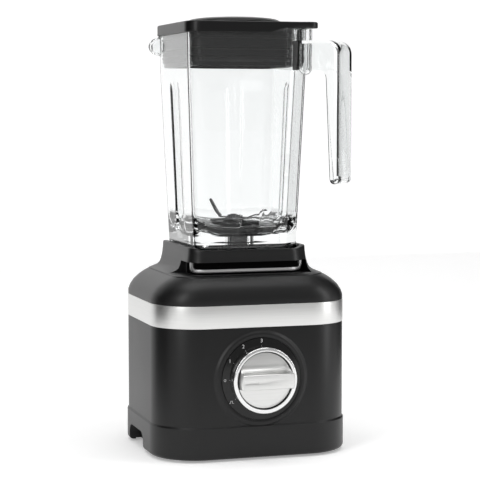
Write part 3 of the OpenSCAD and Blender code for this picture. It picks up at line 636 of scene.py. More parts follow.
class BLENDER_OT_lower_housing(bpy.types.Operator):
    """Builds the lower housing, its plinth and its finger pockets"""

    bl_idname = "blender.lower_housing"
    bl_label = "Lower housing"

    def execute(self, context):
        s = context.scene.blender_base
        piece = slab("lower_housing_shell", s.width, s.depth, s.corner, FOOT_Z, BAND_LOW, segments=24)
        edit(piece, "FACE")
        for height in (s.plinth, s.plinth + 1.6 * MM):
            bpy.ops.mesh.select_all(action="SELECT")
            bpy.ops.mesh.bisect(plane_co=(0, 0, height), plane_no=(0, 0, 1))
        bpy.ops.mesh.select_all(action="DESELECT")
        pick(piece, "faces", lambda f: abs(f.normal.z) < 0.5 and middle(f).z < s.plinth)
        bpy.ops.transform.shrink_fatten(value=s.plinth_out)
        round_edges(piece, level_at(FOOT_Z), 3.5 * MM, 5)
        round_edges(piece, level_at(BAND_LOW), 0.7 * MM, 3)
        core = slab("core", s.width - 2 * s.wall, s.depth - 2 * s.wall, s.corner - s.wall, -1, 1, segments=24)
        cut(piece, core)
        for side in (-1, 1):
            self.cut_pocket(piece, side * (s.width / 2 + s.plinth_out), side)
        done(piece, "base", finish("satin black"), ["lower_housing"], smooth=30)
        return {"FINISHED"}

    def arch(self, name, outer, inner, grow):
        """A block with a round top, for a pocket or, grown, for the pocket's own wall."""
        front, back, top = AXIS_Y - 15 * MM - grow, AXIS_Y + 35 * MM + grow, 17.5 * MM + grow
        reach = sorted((outer, inner))
        piece = block(name, (reach[0], front, FOOT_Z - 1 * MM), (reach[1], back, top))
        round_edges(piece, lambda e: level_at(top)(e) and abs(e.verts[0].co.x - e.verts[1].co.x) > 0.1 * MM,
                    9 * MM + grow, 10)
        return piece

    def cut_pocket(self, piece, outer, side):
        wall = self.arch("wall", outer - side * 5 * MM, outer - side * 14 * MM, 3 * MM)
        combine(wall, block("trim", (-1, -1, FOOT_Z + 1 * MM), (1, 1, 1)), "INTERSECT")
        combine(piece, wall, "UNION")
        cut(piece, self.arch("hollow", outer + side * 5 * MM, outer - side * 11 * MM, 0))


class BLENDER_OT_band(bpy.types.Operator):
    """Builds the metal band around the base"""

    bl_idname = "blender.band"
    bl_label = "Metal band"

    def execute(self, context):
        s = context.scene.blender_base
        out = 0.3 * MM
        piece = slab("band", s.width + 2 * out, s.depth + 2 * out, s.corner + out, BAND_LOW, BAND_TOP,
                     segments=28)
        round_edges(piece, level_at(BAND_LOW, BAND_TOP), 0.5 * MM, 3)
        inset = 1.6 * MM
        core = slab("core", s.width - 2 * inset, s.depth - 2 * inset, s.corner - inset, -1, 1, segments=28)
        cut(piece, core)
        done(piece, "base", finish("brushed band"), ["metal_band"], smooth=30)
        return {"FINISHED"}


# Inset from the base's side at each height over the band, from the shoulder up to the neck's rim
DOME = [(0.0, 0.5), (0.2, 0.0), (4.0, 0.0), (8.5, 1.7), (13.5, 5.2), (18.0, 10.4), (21.0, 15.0), (23.2, 19.3),
        (22.9, 19.9), (24.0, 20.4), (25.4, 24.0), (27.0, 28.0), (29.0, 30.3), (32.5, 31.8), (37.0, 32.9),
        (44.0, 33.8)]


NECK_WALL = 4.5 * MM
SEAT_Z = NECK_TOP - 19.5 * MM       # where the jar stands
SEAT_T = 3 * MM
SEAT_HOLE = 15 * MM
SLOT_LOW = BAND_TOP + 25.2 * MM
SLOT_HIGH = NECK_TOP - 13 * MM
# Inset and drop, in millimetres, of the rings that round the neck's rim and the jar's
NECK_RIM = ((0.0, 1.2), (0.35, 0.35), (1.2, 0.0), (3.3, 0.0), (4.15, 0.35), (4.5, 1.2))
JAR_RIM = ((0, 1.2), (0.35, 0.35), (1.2, 0), (2.0, 0), (2.85, 0.35), (3.2, 1.2))


def neck_outline(s, inset=0.0):
    width = s.neck - 2 * inset
    return squarish(width, width, s.neck_corner - inset * 0.8, s.neck_cut - inset * 0.6, turn=16, side=10)


def rim_heights(outline, rise):
    """The neck's rim rises a little along its two sides."""
    reach = max(abs(p.x) for p in outline)
    steps = [smooth_step((abs(p.x) - 0.86 * reach) / (0.12 * reach)) for p in outline]
    return [NECK_TOP - 2.0 * MM + rise * step for step in steps]


class BLENDER_OT_top_housing(bpy.types.Operator):
    """Builds the shoulder, the neck, the jar's seat and the slot in front of the neck"""

    bl_idname = "blender.top_housing"
    bl_label = "Top housing"

    def execute(self, context):
        s = context.scene.blender_base
        rings = [ring(self.dome_outline(s, inset * MM), BAND_TOP + z * MM) for z, inset in DOME]
        for inset, drop in NECK_RIM:
            outline = neck_outline(s, inset * MM)
            rings.append(ring(outline, [z - drop * MM for z in rim_heights(outline, 2.0 * MM)]))
        inner = neck_outline(s, NECK_WALL)
        hole = [p.normalized() * SEAT_HOLE for p in inner]
        rings += [
            ring(inner, SEAT_Z + 1.5 * MM),
            ring(neck_outline(s, 6.0 * MM), SEAT_Z),
            ring(hole, SEAT_Z),
            ring(hole, SEAT_Z - SEAT_T),
            ring(neck_outline(s, 14 * MM), SEAT_Z - SEAT_T),
        ]
        for z, inset in reversed(DOME[2:7]):
            rings.append(ring(self.dome_outline(s, (inset + 3.2) * MM), BAND_TOP + (z - 2.5) * MM))
        rings.append(ring(self.dome_outline(s, 3.0 * MM), BAND_TOP))
        piece = skin("top_housing_shell", rings)
        self.cut_slot(piece, s)
        done(piece, "base", finish("satin black"), ["top_housing"], smooth=40)
        # a near-black strip in the slot: painted shade for the slot's shadow under the band
        self.liner(s)
        return {"FINISHED"}

    def liner(self, s):
        """A near-black matt strip that lines the bottom of the slot: painted shade, standing for the shadow
        that falls in the slot under the neck's band.
        """
        low_z, high_z = SLOT_LOW + 0.05 * MM, SLOT_HIGH - 0.05 * MM
        place = upright_at((low_z + high_z) / 2)
        piece = extruded("slot_liner", neck_outline(s, 3.3 * MM), place, high_z - low_z)
        cut(piece, extruded("core", neck_outline(s, 3.85 * MM), place, 1))
        combine(piece, self.front(s, 3.9 * MM, 28 * MM), "INTERSECT")
        done(piece, "base", finish("slot matt"))

    def front(self, s, side, depth):
        """The space in front of the neck and beside it on the left, as far back as a depth."""
        return block("front", (-1, -1, -1), (s.neck / 2 - side, AXIS_Y - s.neck / 2 + depth, 1))

    def dome_outline(self, s, inset):
        """The housing's outline, drawn in towards the neck's."""
        whole = (s.width - s.neck) / 2
        k = min(1.0, inset / whole)
        depth = s.depth - (s.depth - s.neck) * k
        radius = s.corner - (s.corner - s.neck_corner) * k
        cut = s.neck_cut * smooth_step((k - 0.5) / 0.45)
        return squarish(s.width - 2 * inset, depth, radius, cut, turn=16, side=10)

    def cut_slot(self, piece, s):
        """The slot runs round the front corners of the neck and ends on its sides."""
        around = s.neck + 30 * MM
        tool = slab("tool", around, around, 25 * MM, SLOT_LOW, SLOT_HIGH)
        cut(tool, extruded("core", neck_outline(s, 3.8 * MM), upright_at(SLOT_LOW), 1))
        combine(tool, self.front(s, 1.2 * MM, 32 * MM), "INTERSECT")
        back = AXIS_Y - s.neck / 2 + 31 * MM
        round_edges(tool, lambda e: upright(e) and middle(e).x < 0 and middle(e).y > back, 3 * MM, 5)
        cut(piece, tool)


def along(outline, distance):
    """The point and the outward direction at a distance along an outline."""
    for a, b in zip(outline, outline[1:] + outline[:1]):
        step = (b - a).length
        if distance <= step and step > 1e-9:
            run = (b - a) / step
            return a + run * distance, Vector((run.y, -run.x))
        distance -= step
    raise ValueError("the distance runs past the outline")


class BLENDER_OT_slot_trim(bpy.types.Operator):
    """Builds the bright strip in the slot under the neck"""

    bl_idname = "blender.slot_trim"
    bl_label = "Slot trim"

    def execute(self, context):
        s = context.scene.blender_base
        outline = neck_outline(s, 2.4 * MM)
        bottom, top = BAND_TOP + 28.2 * MM, NECK_TOP - 12.2 * MM
        start, end, bend = 3.2 * MM, 113 * MM, 5.5 * MM
        path = [(start, top), (start, bottom + bend)]
        path += arc(start + bend, bottom + bend, bend, 180, 90, 8)
        count = 30
        path += [(start + bend + (end - start - 2 * bend) * i / count, bottom) for i in range(1, count)]
        path += arc(end - bend, bottom + bend, bend, 270, 90, 8)
        path += [(end, top)]
        rings = [self.section(outline, path, i) for i in range(len(path))]
        piece = skin("slot_strip", rings, closed=False)
        done(piece, "base", finish("trim satin"), ["slot_trim"])
        return {"FINISHED"}

    def section(self, outline, path, i):
        """The strip's cross-section at one point of its path, wrapped on the outline."""
        before, after = Vector(path[max(i - 1, 0)]), Vector(path[min(i + 1, len(path) - 1)])
        run = (after - before).normalized()
        across = Vector((-run.y, run.x)) * (1.5 + 0.7 * abs(run.y)) * MM
        corners = []
        for side, proud in ((-1, -1.2), (-1, 0.9), (-0.7, 1.2), (0.7, 1.2), (1, 0.9), (1, -1.2)):
            spot = Vector(path[i]) + across * side
            point, out = along(outline, spot.x)
            point = point + out * proud * MM
            corners.append((point.x, point.y + AXIS_Y, spot.y))
        return corners


# ---- dial ----


PRINT_HALF = 0.06 * MM      # half the thickness of a printed mark


class BLENDER_OT_dial(bpy.types.Operator):
    """Builds the dial's pad, its glossy plate and the marks around it"""

    bl_idname = "blender.dial"
    bl_label = "Dial"

    def execute(self, context):
        s = context.scene.blender_dial
        wall = (AXIS_Y - context.scene.blender_base.depth / 2 - DIAL_FACE) / MM
        plate = s.plate / MM
        edge = s.pad / MM
        pad = [(0, -wall - 1), (edge, -wall - 1), (edge, -wall - 0.2), (edge - 0.6, -wall + 0.02)]
        rise = [(edge - 0.6 - 4.2 * i / 10, -wall + wall * smooth_step(i / 10)) for i in range(1, 11)]
        pad += rise + [(plate + 0.9, 0), (plate + 0.35, -0.35), (plate + 0.35, -1.6), (0, -1.6)]
        piece = spun("dial_pad", in_mm(pad), on_dial(), steps=128)
        done(piece, "base", finish("satin black"))
        disc = [(0, -1.5), (plate, -1.5), (plate, -0.3), (plate - 0.1, -0.1), (plate - 0.4, 0), (0, 0)]
        piece = spun("dial_disc", in_mm(disc), on_dial(), steps=128)
        done(piece, "base", finish("dial gloss"), ["dial_plate"])
        self.marks(s)
        return {"FINISHED"}

    def at(self, angle, radius):
        """A point on the dial's face."""
        a = math.radians(angle)
        return Vector((radius * math.cos(a), DIAL_FACE, DIAL_Z + radius * math.sin(a)))

    def printed(self, piece):
        done(piece, "base", finish("print white"))

    def marks(self, s):
        radius = (s.plate + s.knob) / 2 + 0.9 * MM
        for digit, angle in (("3", 90), ("2", 120), ("1", 150)):
            deselect()
            bpy.ops.object.text_add(location=self.at(angle, radius), rotation=(math.radians(90), 0, 0))
            piece = named("digit_" + digit)
            piece.data.body = digit
            piece.data.size = s.digit * 1.35
            piece.data.align_x = "CENTER"
            piece.data.align_y = "CENTER"
            piece.data.extrude = PRINT_HALF
            bpy.ops.object.convert(target="MESH")
            self.printed(piece)
        for number, angle in enumerate((90, 120, 150, 180, 215)):
            self.tick(number, angle, s.knob + 0.5 * MM)
        self.dot(radius)
        self.surge_sign(radius)

    def tick(self, number, angle, radius):
        """A short line between the knob and its mark."""
        half, wide = 0.25 * MM, 0.12 * MM
        centre = self.at(angle, radius)
        piece = block(f"tick_{number}", (-half, -PRINT_HALF, -wide), (half, PRINT_HALF, wide))
        piece.data.transform(Matrix.Translation(centre) @ Matrix.Rotation(-math.radians(angle), 4, "Y"))
        self.printed(piece)

    def dot(self, radius):
        """The off position: a small ring."""
        place = Matrix.Translation(self.at(180, radius)) @ Matrix.Rotation(math.radians(90), 4, "X")
        profile = [(0.75, -0.06), (1.1, -0.06), (1.1, 0.06), (0.75, 0.06), (0.75, -0.06)]
        self.printed(spun("mark_off", in_mm(profile), place, steps=24))

    def surge_sign(self, radius):
        """Short bursts: a step line, drawn with bars."""
        centre = self.at(215, radius + 0.2 * MM)
        bars = ((-1.6, -1.0, 0.9, 0.3), (-0.85, 0.0, 0.3, 2.3), (0.0, 1.0, 1.5, 0.3), (0.85, 0.0, 0.3, 2.3),
                (1.6, -1.0, 0.9, 0.3))
        for number, (x, z, wide, tall) in enumerate(bars):
            lowest = centre + Vector(((x - wide / 2) * MM, -PRINT_HALF, (z - tall / 2) * MM))
            highest = centre + Vector(((x + wide / 2) * MM, PRINT_HALF, (z + tall / 2) * MM))
            self.printed(block(f"surge_{number}", lowest, highest))


class BLENDER_OT_knob(bpy.types.Operator):
    """Builds the knob: its ring, its body and its face with the grip bar"""

    bl_idname = "blender.knob"
    bl_label = "Knob"

    def execute(self, context):
        s = context.scene.blender_dial
        out = (DIAL_FACE - low("knob_ring", 1)) / MM
        front = (DIAL_FACE - low("knob_face", 1)) / MM
        r, wall = s.knob / MM, s.ring / MM
        ring_profile = [(r - wall, 0.8), (r - 0.3, 0.8), (r, 1.1), (r, out - 1.0), (r - 0.3, out - 0.35),
                        (r - 0.9, out), (r - wall + 0.3, out - 0.1), (r - wall, out - 0.5), (r - wall, 0.8)]
        piece = spun("knob_rim", in_mm(ring_profile), on_dial(), steps=128)
        done(piece, "dial", finish("knob bright"), ["knob_ring"])
        inner = r - wall - 0.1
        body = [(2.6, 0.8), (inner, 0.8), (inner, out - 4.7), (2.6, out - 4.7), (2.6, 0.8)]
        piece = spun("knob_core", in_mm(body), on_dial(), steps=64)
        done(piece, "dial", finish("dark plastic"), ["knob_body"])
        self.face(s, inner - 1, out, front)
        return {"FINISHED"}

    def face(self, s, radius, out, front):
        """A flat disc with a tall bar across it: its upper flank sweeps into the disc, and its lower
        one drops."""
        sunk, half = out - 2.5, s.bar / MM / 2
        section = [(-radius - 1, sunk - 2), (radius + 1, sunk - 2), (radius + 1, sunk)]
        section += [(half + 0.2 + 7.3 * (1 - math.sin(a)), sunk + (front - 0.6 - sunk) * (1 - math.cos(a)))
                    for a in (math.radians(6 * i) for i in range(16))]
        section += [(half - 0.4, front), (0.4 - half, front), (-half, front - 0.5), (-half - 0.3, sunk + 0.5),
                    (-half - 0.8, sunk), (-radius - 1, sunk)]
        rings = [[(x * MM, DIAL_FACE - z * MM, DIAL_Z + a * MM) for a, z in section]
                 for x in (-radius - 1, radius + 1)]
        piece = skin("knob_grip", rings, closed=False)
        limit = [(0, 0), (radius, 0), (radius, front - 1.2), (radius - 1, front + 0.2), (0, front + 1)]
        combine(piece, spun("bound", in_mm(limit), on_dial(), steps=128), "INTERSECT")
        start = radius - 3
        groove = block("groove", (-start * MM, DIAL_FACE - (front + 1) * MM, DIAL_Z - 1.3 * MM),
                       ((12.5 - start) * MM, DIAL_FACE - (front - 0.6) * MM, DIAL_Z + 1.3 * MM))
        cut(piece, groove)
        soften(piece, 0.25 * MM, 2, 40)
        done(piece, "dial", finish("knob satin"), ["knob_face"], smooth=30)


# ---- jar ----


def jar_width(s, z):
    """Outside width of the jar at a height."""
    start = JAR_TOP - s.shoulder
    flare = 1.5 * MM
    upright_width = s.rim - flare
    if z > start:
        return upright_width + flare * (z - start) / s.shoulder
    return s.foot + (upright_width - s.foot) * (z - JAR_FOOT) / (start - JAR_FOOT)


def jar_outline(s, z, inset=0.0):
    """The jar's outline at a height, with its lip and the channel in each wall."""
    ear = 1 - ((z - (JAR_TOP - 13.5 * MM)) / (8.8 * MM)) ** 2
    lip = s.lip * math.sqrt(ear) if ear > 0 else 0.0
    width = jar_width(s, z) - 2 * inset
    radius = s.corner - inset * 0.7
    outline = squarish(width, width, radius, s.cut - inset * 0.6, lip, turn=16, side=36)
    fade = smooth_step((JAR_TOP - 46 * MM - z) / (9 * MM)) * smooth_step((z - BOWL_Z - 2 * MM) / (14 * MM))
    depth = s.flute_depth * fade
    shaped = []
    for p in outline:
        for across, reach in ((0, 1), (1, 0)):
            if abs(abs(p[reach]) - width / 2) < SAME:
                # the channel's middle sits on the wall's own middle
                t = abs(p[across]) / (s.flute_width / 2)
                sink = depth * smooth_step((1.15 - t) / 0.45)
                p = p.copy()
                p[reach] -= math.copysign(sink, p[reach])
                break
        shaped.append(p)
    return shaped


class BLENDER_OT_jar(bpy.types.Operator):
    """Builds the clear jar with its lip, its channels, its thick floor and its handle"""

    bl_idname = "blender.jar"
    bl_label = "Jar"

    def execute(self, context):
        s = context.scene.blender_jar
        piece = self.shell(s)
        combine(piece, self.handle(s), "UNION")
        combine(piece, self.column(s), "UNION")
        piece.name = piece.data.name = "jar_clear"
        done(piece, "jar", finish("clear jar"), ["jar"], smooth=32)
        return {"FINISHED"}

    def levels(self):
        """Heights of the jar's rings, closer together at the lip and the channels' ends."""
        heights = [JAR_FOOT, FLOOR_LOW, BOWL_Z + 2 * MM]
        heights += [BOWL_Z + (4 + 2 * i) * MM for i in range(8)]
        heights += [BOWL_Z + (20 + 11 * i) * MM for i in range(10)]
        heights += [JAR_TOP - (57 - 1.5 * i) * MM for i in range(9)]
        heights += [JAR_TOP - (40 - 4 * i) * MM for i in range(4)]
        heights += [JAR_TOP - (24 - 0.8 * i) * MM for i in range(28)]
        return heights

    def shell(self, s):
        wall = s.wall
        bowl_top = BOWL_Z + 24 * MM
        heights = self.levels()
        below_rim = JAR_TOP - 1.3 * MM
        rings = [ring(jar_outline(s, z), z) for z in heights if z < below_rim]
        for inset, drop in JAR_RIM:
            rings.append(ring(jar_outline(s, JAR_TOP - drop * MM, inset * MM), JAR_TOP - drop * MM))
        rings += [ring(jar_outline(s, z, wall), z) for z in reversed(heights) if bowl_top < z < below_rim]
        outline = jar_outline(s, bowl_top, wall)
        hole = [p.normalized() * 14 * MM for p in outline]
        for i in range(17):
            # the wall turns into a dish, while the outline grows round
            a = math.radians(90 * i / 16)
            points = [p.lerp(p.normalized() * 27 * MM, 1 - math.cos(a)) for p in outline]
            rings.append(ring(points, bowl_top - 23.8 * MM * math.sin(a)))
        rings += [
            ring([h * 1.55 for h in hole], BOWL_Z),
            ring(hole, BOWL_Z),
            ring(hole, FLOOR_LOW),
            ring([h * 2.0 for h in hole], FLOOR_LOW),
            ring(jar_outline(s, FLOOR_LOW, wall + 1.5 * MM), FLOOR_LOW),
            ring(jar_outline(s, FLOOR_LOW, wall), FLOOR_LOW - 1.5 * MM),
            ring(jar_outline(s, JAR_FOOT, wall), JAR_FOOT),
        ]
        return skin("jar_shell", rings)

    def column(self, s):
        """A hollow post at the handle's root, with a round end."""
        reach = (s.rim - s.cut) / math.sqrt(2) + 4 * MM
        place = upright_at() @ Matrix.Translation((reach / math.sqrt(2), -reach / math.sqrt(2), 0))
        foot, top = JAR_TOP - 41 * MM, JAR_TOP - 0.6 * MM
        outer, inner = 6 * MM, 3.9 * MM
        profile = [(outer * math.sin(a), foot + outer * (1 - math.cos(a))) for a in
                   (math.radians(15 * i) for i in range(7))]
        profile += [(outer, top), (inner, top)]
        profile += [(inner * math.sin(a), foot + outer - inner * math.cos(a)) for a in
                    (math.radians(90 - 15 * i) for i in range(7))]
        return spun("column", profile, place, steps=40)

    def handle(self, s):
        """A cantilever handle: a channel in the shape of a J, open towards the jar."""
        top, reach = JAR_TOP - 11 * MM, s.reach
        tip = top - 127 * MM
        face = (s.rim - s.cut) / math.sqrt(2)
        root = face - 2.2 * MM
        low_arm = top - 26 * MM
        inner = reach - s.grip
        outside = [(root, low_arm), (inner - 8 * MM, low_arm)]
        outside += arc(inner - 8 * MM, low_arm - 8 * MM, 8 * MM, 90, -88, 8)
        outside += arc(inner + 8.5 * MM, tip + 4.5 * MM, 4.5 * MM, 180, 90, 6)
        outside += arc(reach - 4.5 * MM, tip + 4.5 * MM, 4.5 * MM, 270, 90, 6)
        outside += arc(reach - 12 * MM, top - 12 * MM, 12 * MM, 0, 90, 10)
        outside += [(root, top)]
        # across the handle is the place's Z, outwards its X, and up its Y
        place = upright_at() @ Matrix.Rotation(math.radians(-45), 4, "Z")
        place = place @ Matrix.Rotation(math.radians(90), 4, "X")
        piece = extruded("handle", outside, place, s.handle_width)
        soften(piece, 0.9 * MM, 3, 50)
        wall = s.handle_wall
        far, high_in, low_in = reach - wall, top - wall, tip + wall + 1 * MM
        mouth = face + 4 * MM
        channel = [(mouth, low_arm - 1 * MM), (inner - 10 * MM, low_arm - 3 * MM), (inner - 2 * MM, low_in)]
        channel += arc(far - 4 * MM, low_in + 4 * MM, 4 * MM, 270, 90, 5)
        channel += arc(far - 10 * MM, high_in - 10 * MM, 10 * MM, 0, 90, 8)
        channel += [(mouth, high_in)]
        cut(piece, extruded("hollow", channel, place, s.handle_width - 2 * wall))
        return piece


# ---- blades ----


BLADE_BORE = 3.52 * MM      # the blades and their nut fit over the shaft
BLADE_T = 1.8 * MM


class BLENDER_OT_blades(bpy.types.Operator):
    """Builds the blade hub, the two blades and their nut"""

    bl_idname = "blender.blades"
    bl_label = "Blades"

    def execute(self, context):
        self.hub()
        upper = low("blade_nut", 2) - BLADE_T
        lower = upper - 2.8 * MM
        self.blade("cutter_low", "lower_blade", lower, 205, ((-4, 29 * MM), (3, 30 * MM)))
        self.blade("cutter_high", "upper_blade", upper, 152, ((62, 36 * MM), (30, 34 * MM)))
        self.nut()
        return {"FINISHED"}

    def hub(self):
        """The bearing housing: a flange, a waisted cone and a round shoulder."""
        base = low("blade_housing", 2)
        flange = BOWL_Z + 1 * MM
        top = high("blade_housing", 2)
        profile = [(6.0, base), (13.5, base), (13.5, flange), (20.4, flange), (21.0, flange + 0.6 * MM),
                   (21.0, flange + 2.2 * MM), (20.2, flange + 3 * MM), (15.0, flange + 3.3 * MM)]
        cone = flange + 3.4 * MM
        profile += [(12.0 - 3.4 * math.sin(math.radians(10 * i)), cone + (top - 0.6 * MM - cone) * i / 9)
                    for i in range(10)]
        profile += [(8.0, top), (6.0, top), (6.0, base)]
        piece = spun("blade_hub", [(r * MM, z) for r, z in profile], upright_at(), steps=64)
        done(piece, "jar", finish("hub dark"), ["blade_housing"])

    def blade(self, name, node, z, turn, arms):
        """A forged blade: two arms, each bent at its root, with an edge ground on one side."""
        hub = [(BLADE_BORE, 0), (8 * MM, 0), (8 * MM, BLADE_T), (BLADE_BORE, BLADE_T), (BLADE_BORE, 0)]
        piece = spun(name, hub, upright_at(z), steps=48)
        for half, (rise, reach) in zip((0, 180), arms):
            arm = self.arm(reach, rise)
            arm.data.transform(upright_at(z) @ Matrix.Rotation(math.radians(turn + half), 4, "Z"))
            combine(piece, arm, "UNION")
        cut(piece, self.bore(1))
        soften(piece, 0.15 * MM, 1, 50)
        done(piece, "blades", finish("blade steel"), [node], smooth=28)

    def bore(self, top):
        """A cutting tool for the shaft's way through, up to a height."""
        return spun("bore", [(0, -1), (BLADE_BORE, -1), (BLADE_BORE, top), (0, top)], upright_at(), steps=48)

    def arm(self, reach, rise):
        """One arm along X, bent upwards by a rise in degrees, and narrower towards its tip."""
        root, bend, steps = 6.5 * MM, 12 * MM, 14
        rings = []
        for i in range(steps + 1):
            t = i / steps
            run = root + (reach - root) * t
            past = max(0.0, run - bend)
            angle = math.radians(rise) * smooth_step(past / (4 * MM))
            x = min(run, bend) + past * math.cos(angle)
            z = past * math.sin(angle)
            half = (5.2 - 2.4 * t ** 1.4) * MM
            if i == steps:
                half = 1.2 * MM
            up = Vector((-math.sin(angle), 0, math.cos(angle))) * BLADE_T
            grind = 0.12 if t > 0.2 else 1.0
            spot = Vector((x, 0, z))
            across = Vector((0, half, 0))
            rings.append([spot - across, spot + across, spot + across + up * grind,
                          spot + across * 0.45 + up, spot - across + up])
        return skin("arm", rings, closed=False)

    def nut(self):
        """A domed hexagon nut over the blades."""
        base = low("blade_nut", 2)
        deselect()
        bpy.ops.mesh.primitive_cylinder_add(
            vertices=6, radius=6.5 * MM, depth=3.2 * MM, location=(0, AXIS_Y, base + 1.6 * MM))
        piece = named("blade_cap_nut")
        settle()
        soften(piece, 0.5 * MM, 3, 30)
        dome = in_mm([(0, 1), (5.4, 1), (5.4, 3.2), (4.6, 4.1), (3.0, 4.8), (0, 5)])
        combine(piece, spun("dome", dome, upright_at(base), steps=48), "UNION")
        cut(piece, self.bore(base + 4.05 * MM))
        done(piece, "blades", finish("blade steel"), ["blade_nut"])


# ---- lid ----


def lid_outline(s, inset=0.0):
    width = s.width - 2 * inset
    return squarish(width, width, s.corner - inset * 0.8, tab=s.tab, turn=18, side=6)


def plain_outline(width, corner, cut, lip=0.0):
    return squarish(width, width, corner, cut, lip, turn=18, side=6)


class BLENDER_OT_lid(bpy.types.Operator):
    """Builds the lid with its rim, tab and plug, and the seal around the plug"""

    bl_idname = "blender.lid"
    bl_label = "Lid"

    def execute(self, context):
        s = context.scene.blender_lid
        jar = context.scene.blender_jar
        under = LID_TOP - s.plate
        plug = (high("lid_seal", 0) - low("lid_seal", 0)) - 3.2 * MM
        outer = lid_outline(s)
        hem = [self.hem(p, s, under) for p in outer]
        hole = [p.normalized() * s.hole for p in outer]
        socket = [p.normalized() * (s.hole + 2 * MM) for p in outer]
        plug_out = plain_outline(plug, 10 * MM, 20 * MM)
        plug_in = plain_outline(plug - 4.8 * MM, 8 * MM, 19 * MM)
        groove = plain_outline(jar.rim + 0.6 * MM, jar.corner, jar.cut)
        rings = [
            ring(lid_outline(s, 0.5 * MM), hem),
            ring(outer, [z + 0.6 * MM for z in hem]),
            ring(outer, LID_TOP - 1.6 * MM),
            ring(lid_outline(s, 0.25 * MM), LID_TOP - 0.7 * MM),
            ring(lid_outline(s, 0.8 * MM), LID_TOP - 0.15 * MM),
            ring(lid_outline(s, 1.7 * MM), LID_TOP),
            ring([p * 1.04 for p in hole], LID_TOP),
            ring(hole, LID_TOP - 0.6 * MM),
            ring(hole, under - 12 * MM),
            ring(socket, under - 12 * MM),
            ring(socket, under),
            ring(plug_in, under),
            ring(plug_in, PLUG_LOW + 0.8 * MM),
            ring(plain_outline(plug - 3.4 * MM, 8.5 * MM, 19.4 * MM), PLUG_LOW),
            ring(plain_outline(plug - 1.4 * MM, 9.5 * MM, 19.8 * MM), PLUG_LOW),
            ring(plug_out, PLUG_LOW + 0.8 * MM),
            ring(plug_out, under),
            ring(groove, under),
            ring(groove, [min(z, under - 0.05 * MM) for z in hem]),
        ]
        piece = skin("lid_shell", rings)
        done(piece, "lid", finish("lid black"), ["lid"], smooth=38)
        self.seal(plug)
        return {"FINISHED"}

    def hem(self, p, s, under):
        """The rim's lower edge: deep along the walls, and up at the tab in a soft curve."""
        diagonal = (p.x - p.y) / math.sqrt(2)
        corner = s.width / math.sqrt(2)
        lift = smooth_step((diagonal - corner + 34 * MM) / (14 * MM))
        return under - s.rim + s.rim * 0.97 * lift

    def seal(self, plug):
        """A sleeve on the plug with three fins."""
        bottom, top = low("lid_seal", 2), high("lid_seal", 2)
        fins = [PLUG_LOW + h * MM for h in (8, 15, 25)]
        profile = [(0.0, bottom), (0.8, bottom), (1.1, bottom + 0.5 * MM)]
        for z in fins:
            profile += [(1.1, z - 0.2 * MM), (1.6, z), (1.75, z + 0.7 * MM), (1.6, z + 1.3 * MM),
                        (1.1, z + 1.6 * MM)]
        profile += [(1.1, top - 0.5 * MM), (0.8, top), (0.0, top)]
        rings = [ring(plain_outline(plug + 2 * out * MM, (10 + out * 0.6) * MM, 20 * MM), z)
                 for out, z in profile]
        piece = skin("plug_seal", rings)
        done(piece, "lid", finish("seal black"), ["lid_seal"])


class BLENDER_OT_cap(bpy.types.Operator):
    """Builds the cap over the filling hole"""

    bl_idname = "blender.cap"
    bl_label = "Cap"

    def execute(self, context):
        s = context.scene.blender_lid
        base, bottom = LID_TOP + 0.3 * MM, low("cap", 2)
        rise = CAP_TOP - base
        edge = s.cap
        plug = (high("cap", 0) - low("cap", 0)) / 2 - (s.cap - s.hole) - 0.8 * MM
        profile = [(0, base - 1.3 * MM), (plug - 2.2 * MM, base - 1.3 * MM), (plug - 2.2 * MM, bottom),
                   (plug - 1.8 * MM, bottom), (plug, bottom + 1.2 * MM), (plug, base),
                   (edge - 0.6 * MM, base), (edge, base + 0.6 * MM), (edge, base + 1.4 * MM),
                   (edge - 0.5 * MM, base + 2.1 * MM), (edge - 1.6 * MM, base + 2.5 * MM)]
        crown = base + 2.6 * MM
        for a in range(8, 90, 8):
            a = math.radians(a)
            profile.append(((edge - 2 * MM) * math.cos(a), crown + (rise - 2.6 * MM) * math.sin(a)))
        profile += [(0, CAP_TOP)]
        piece = spun("cap_dome", profile, upright_at(), steps=128)
        done(piece, "cap", finish("lid black"), ["cap"])
        return {"FINISHED"}


class BLENDER_OT_node_finishes(bpy.types.Operator):
    """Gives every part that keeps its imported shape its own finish"""

    bl_idname = "blender.node_finishes"
    bl_label = "Inner parts' finishes"

    def execute(self, context):
        for name, nodes in NODE_FINISHES.items():
            for node in nodes:
                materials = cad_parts[node].data.materials
                materials.clear()
                materials.append(finish(name))
        return {"FINISHED"}


# ---- stage ----


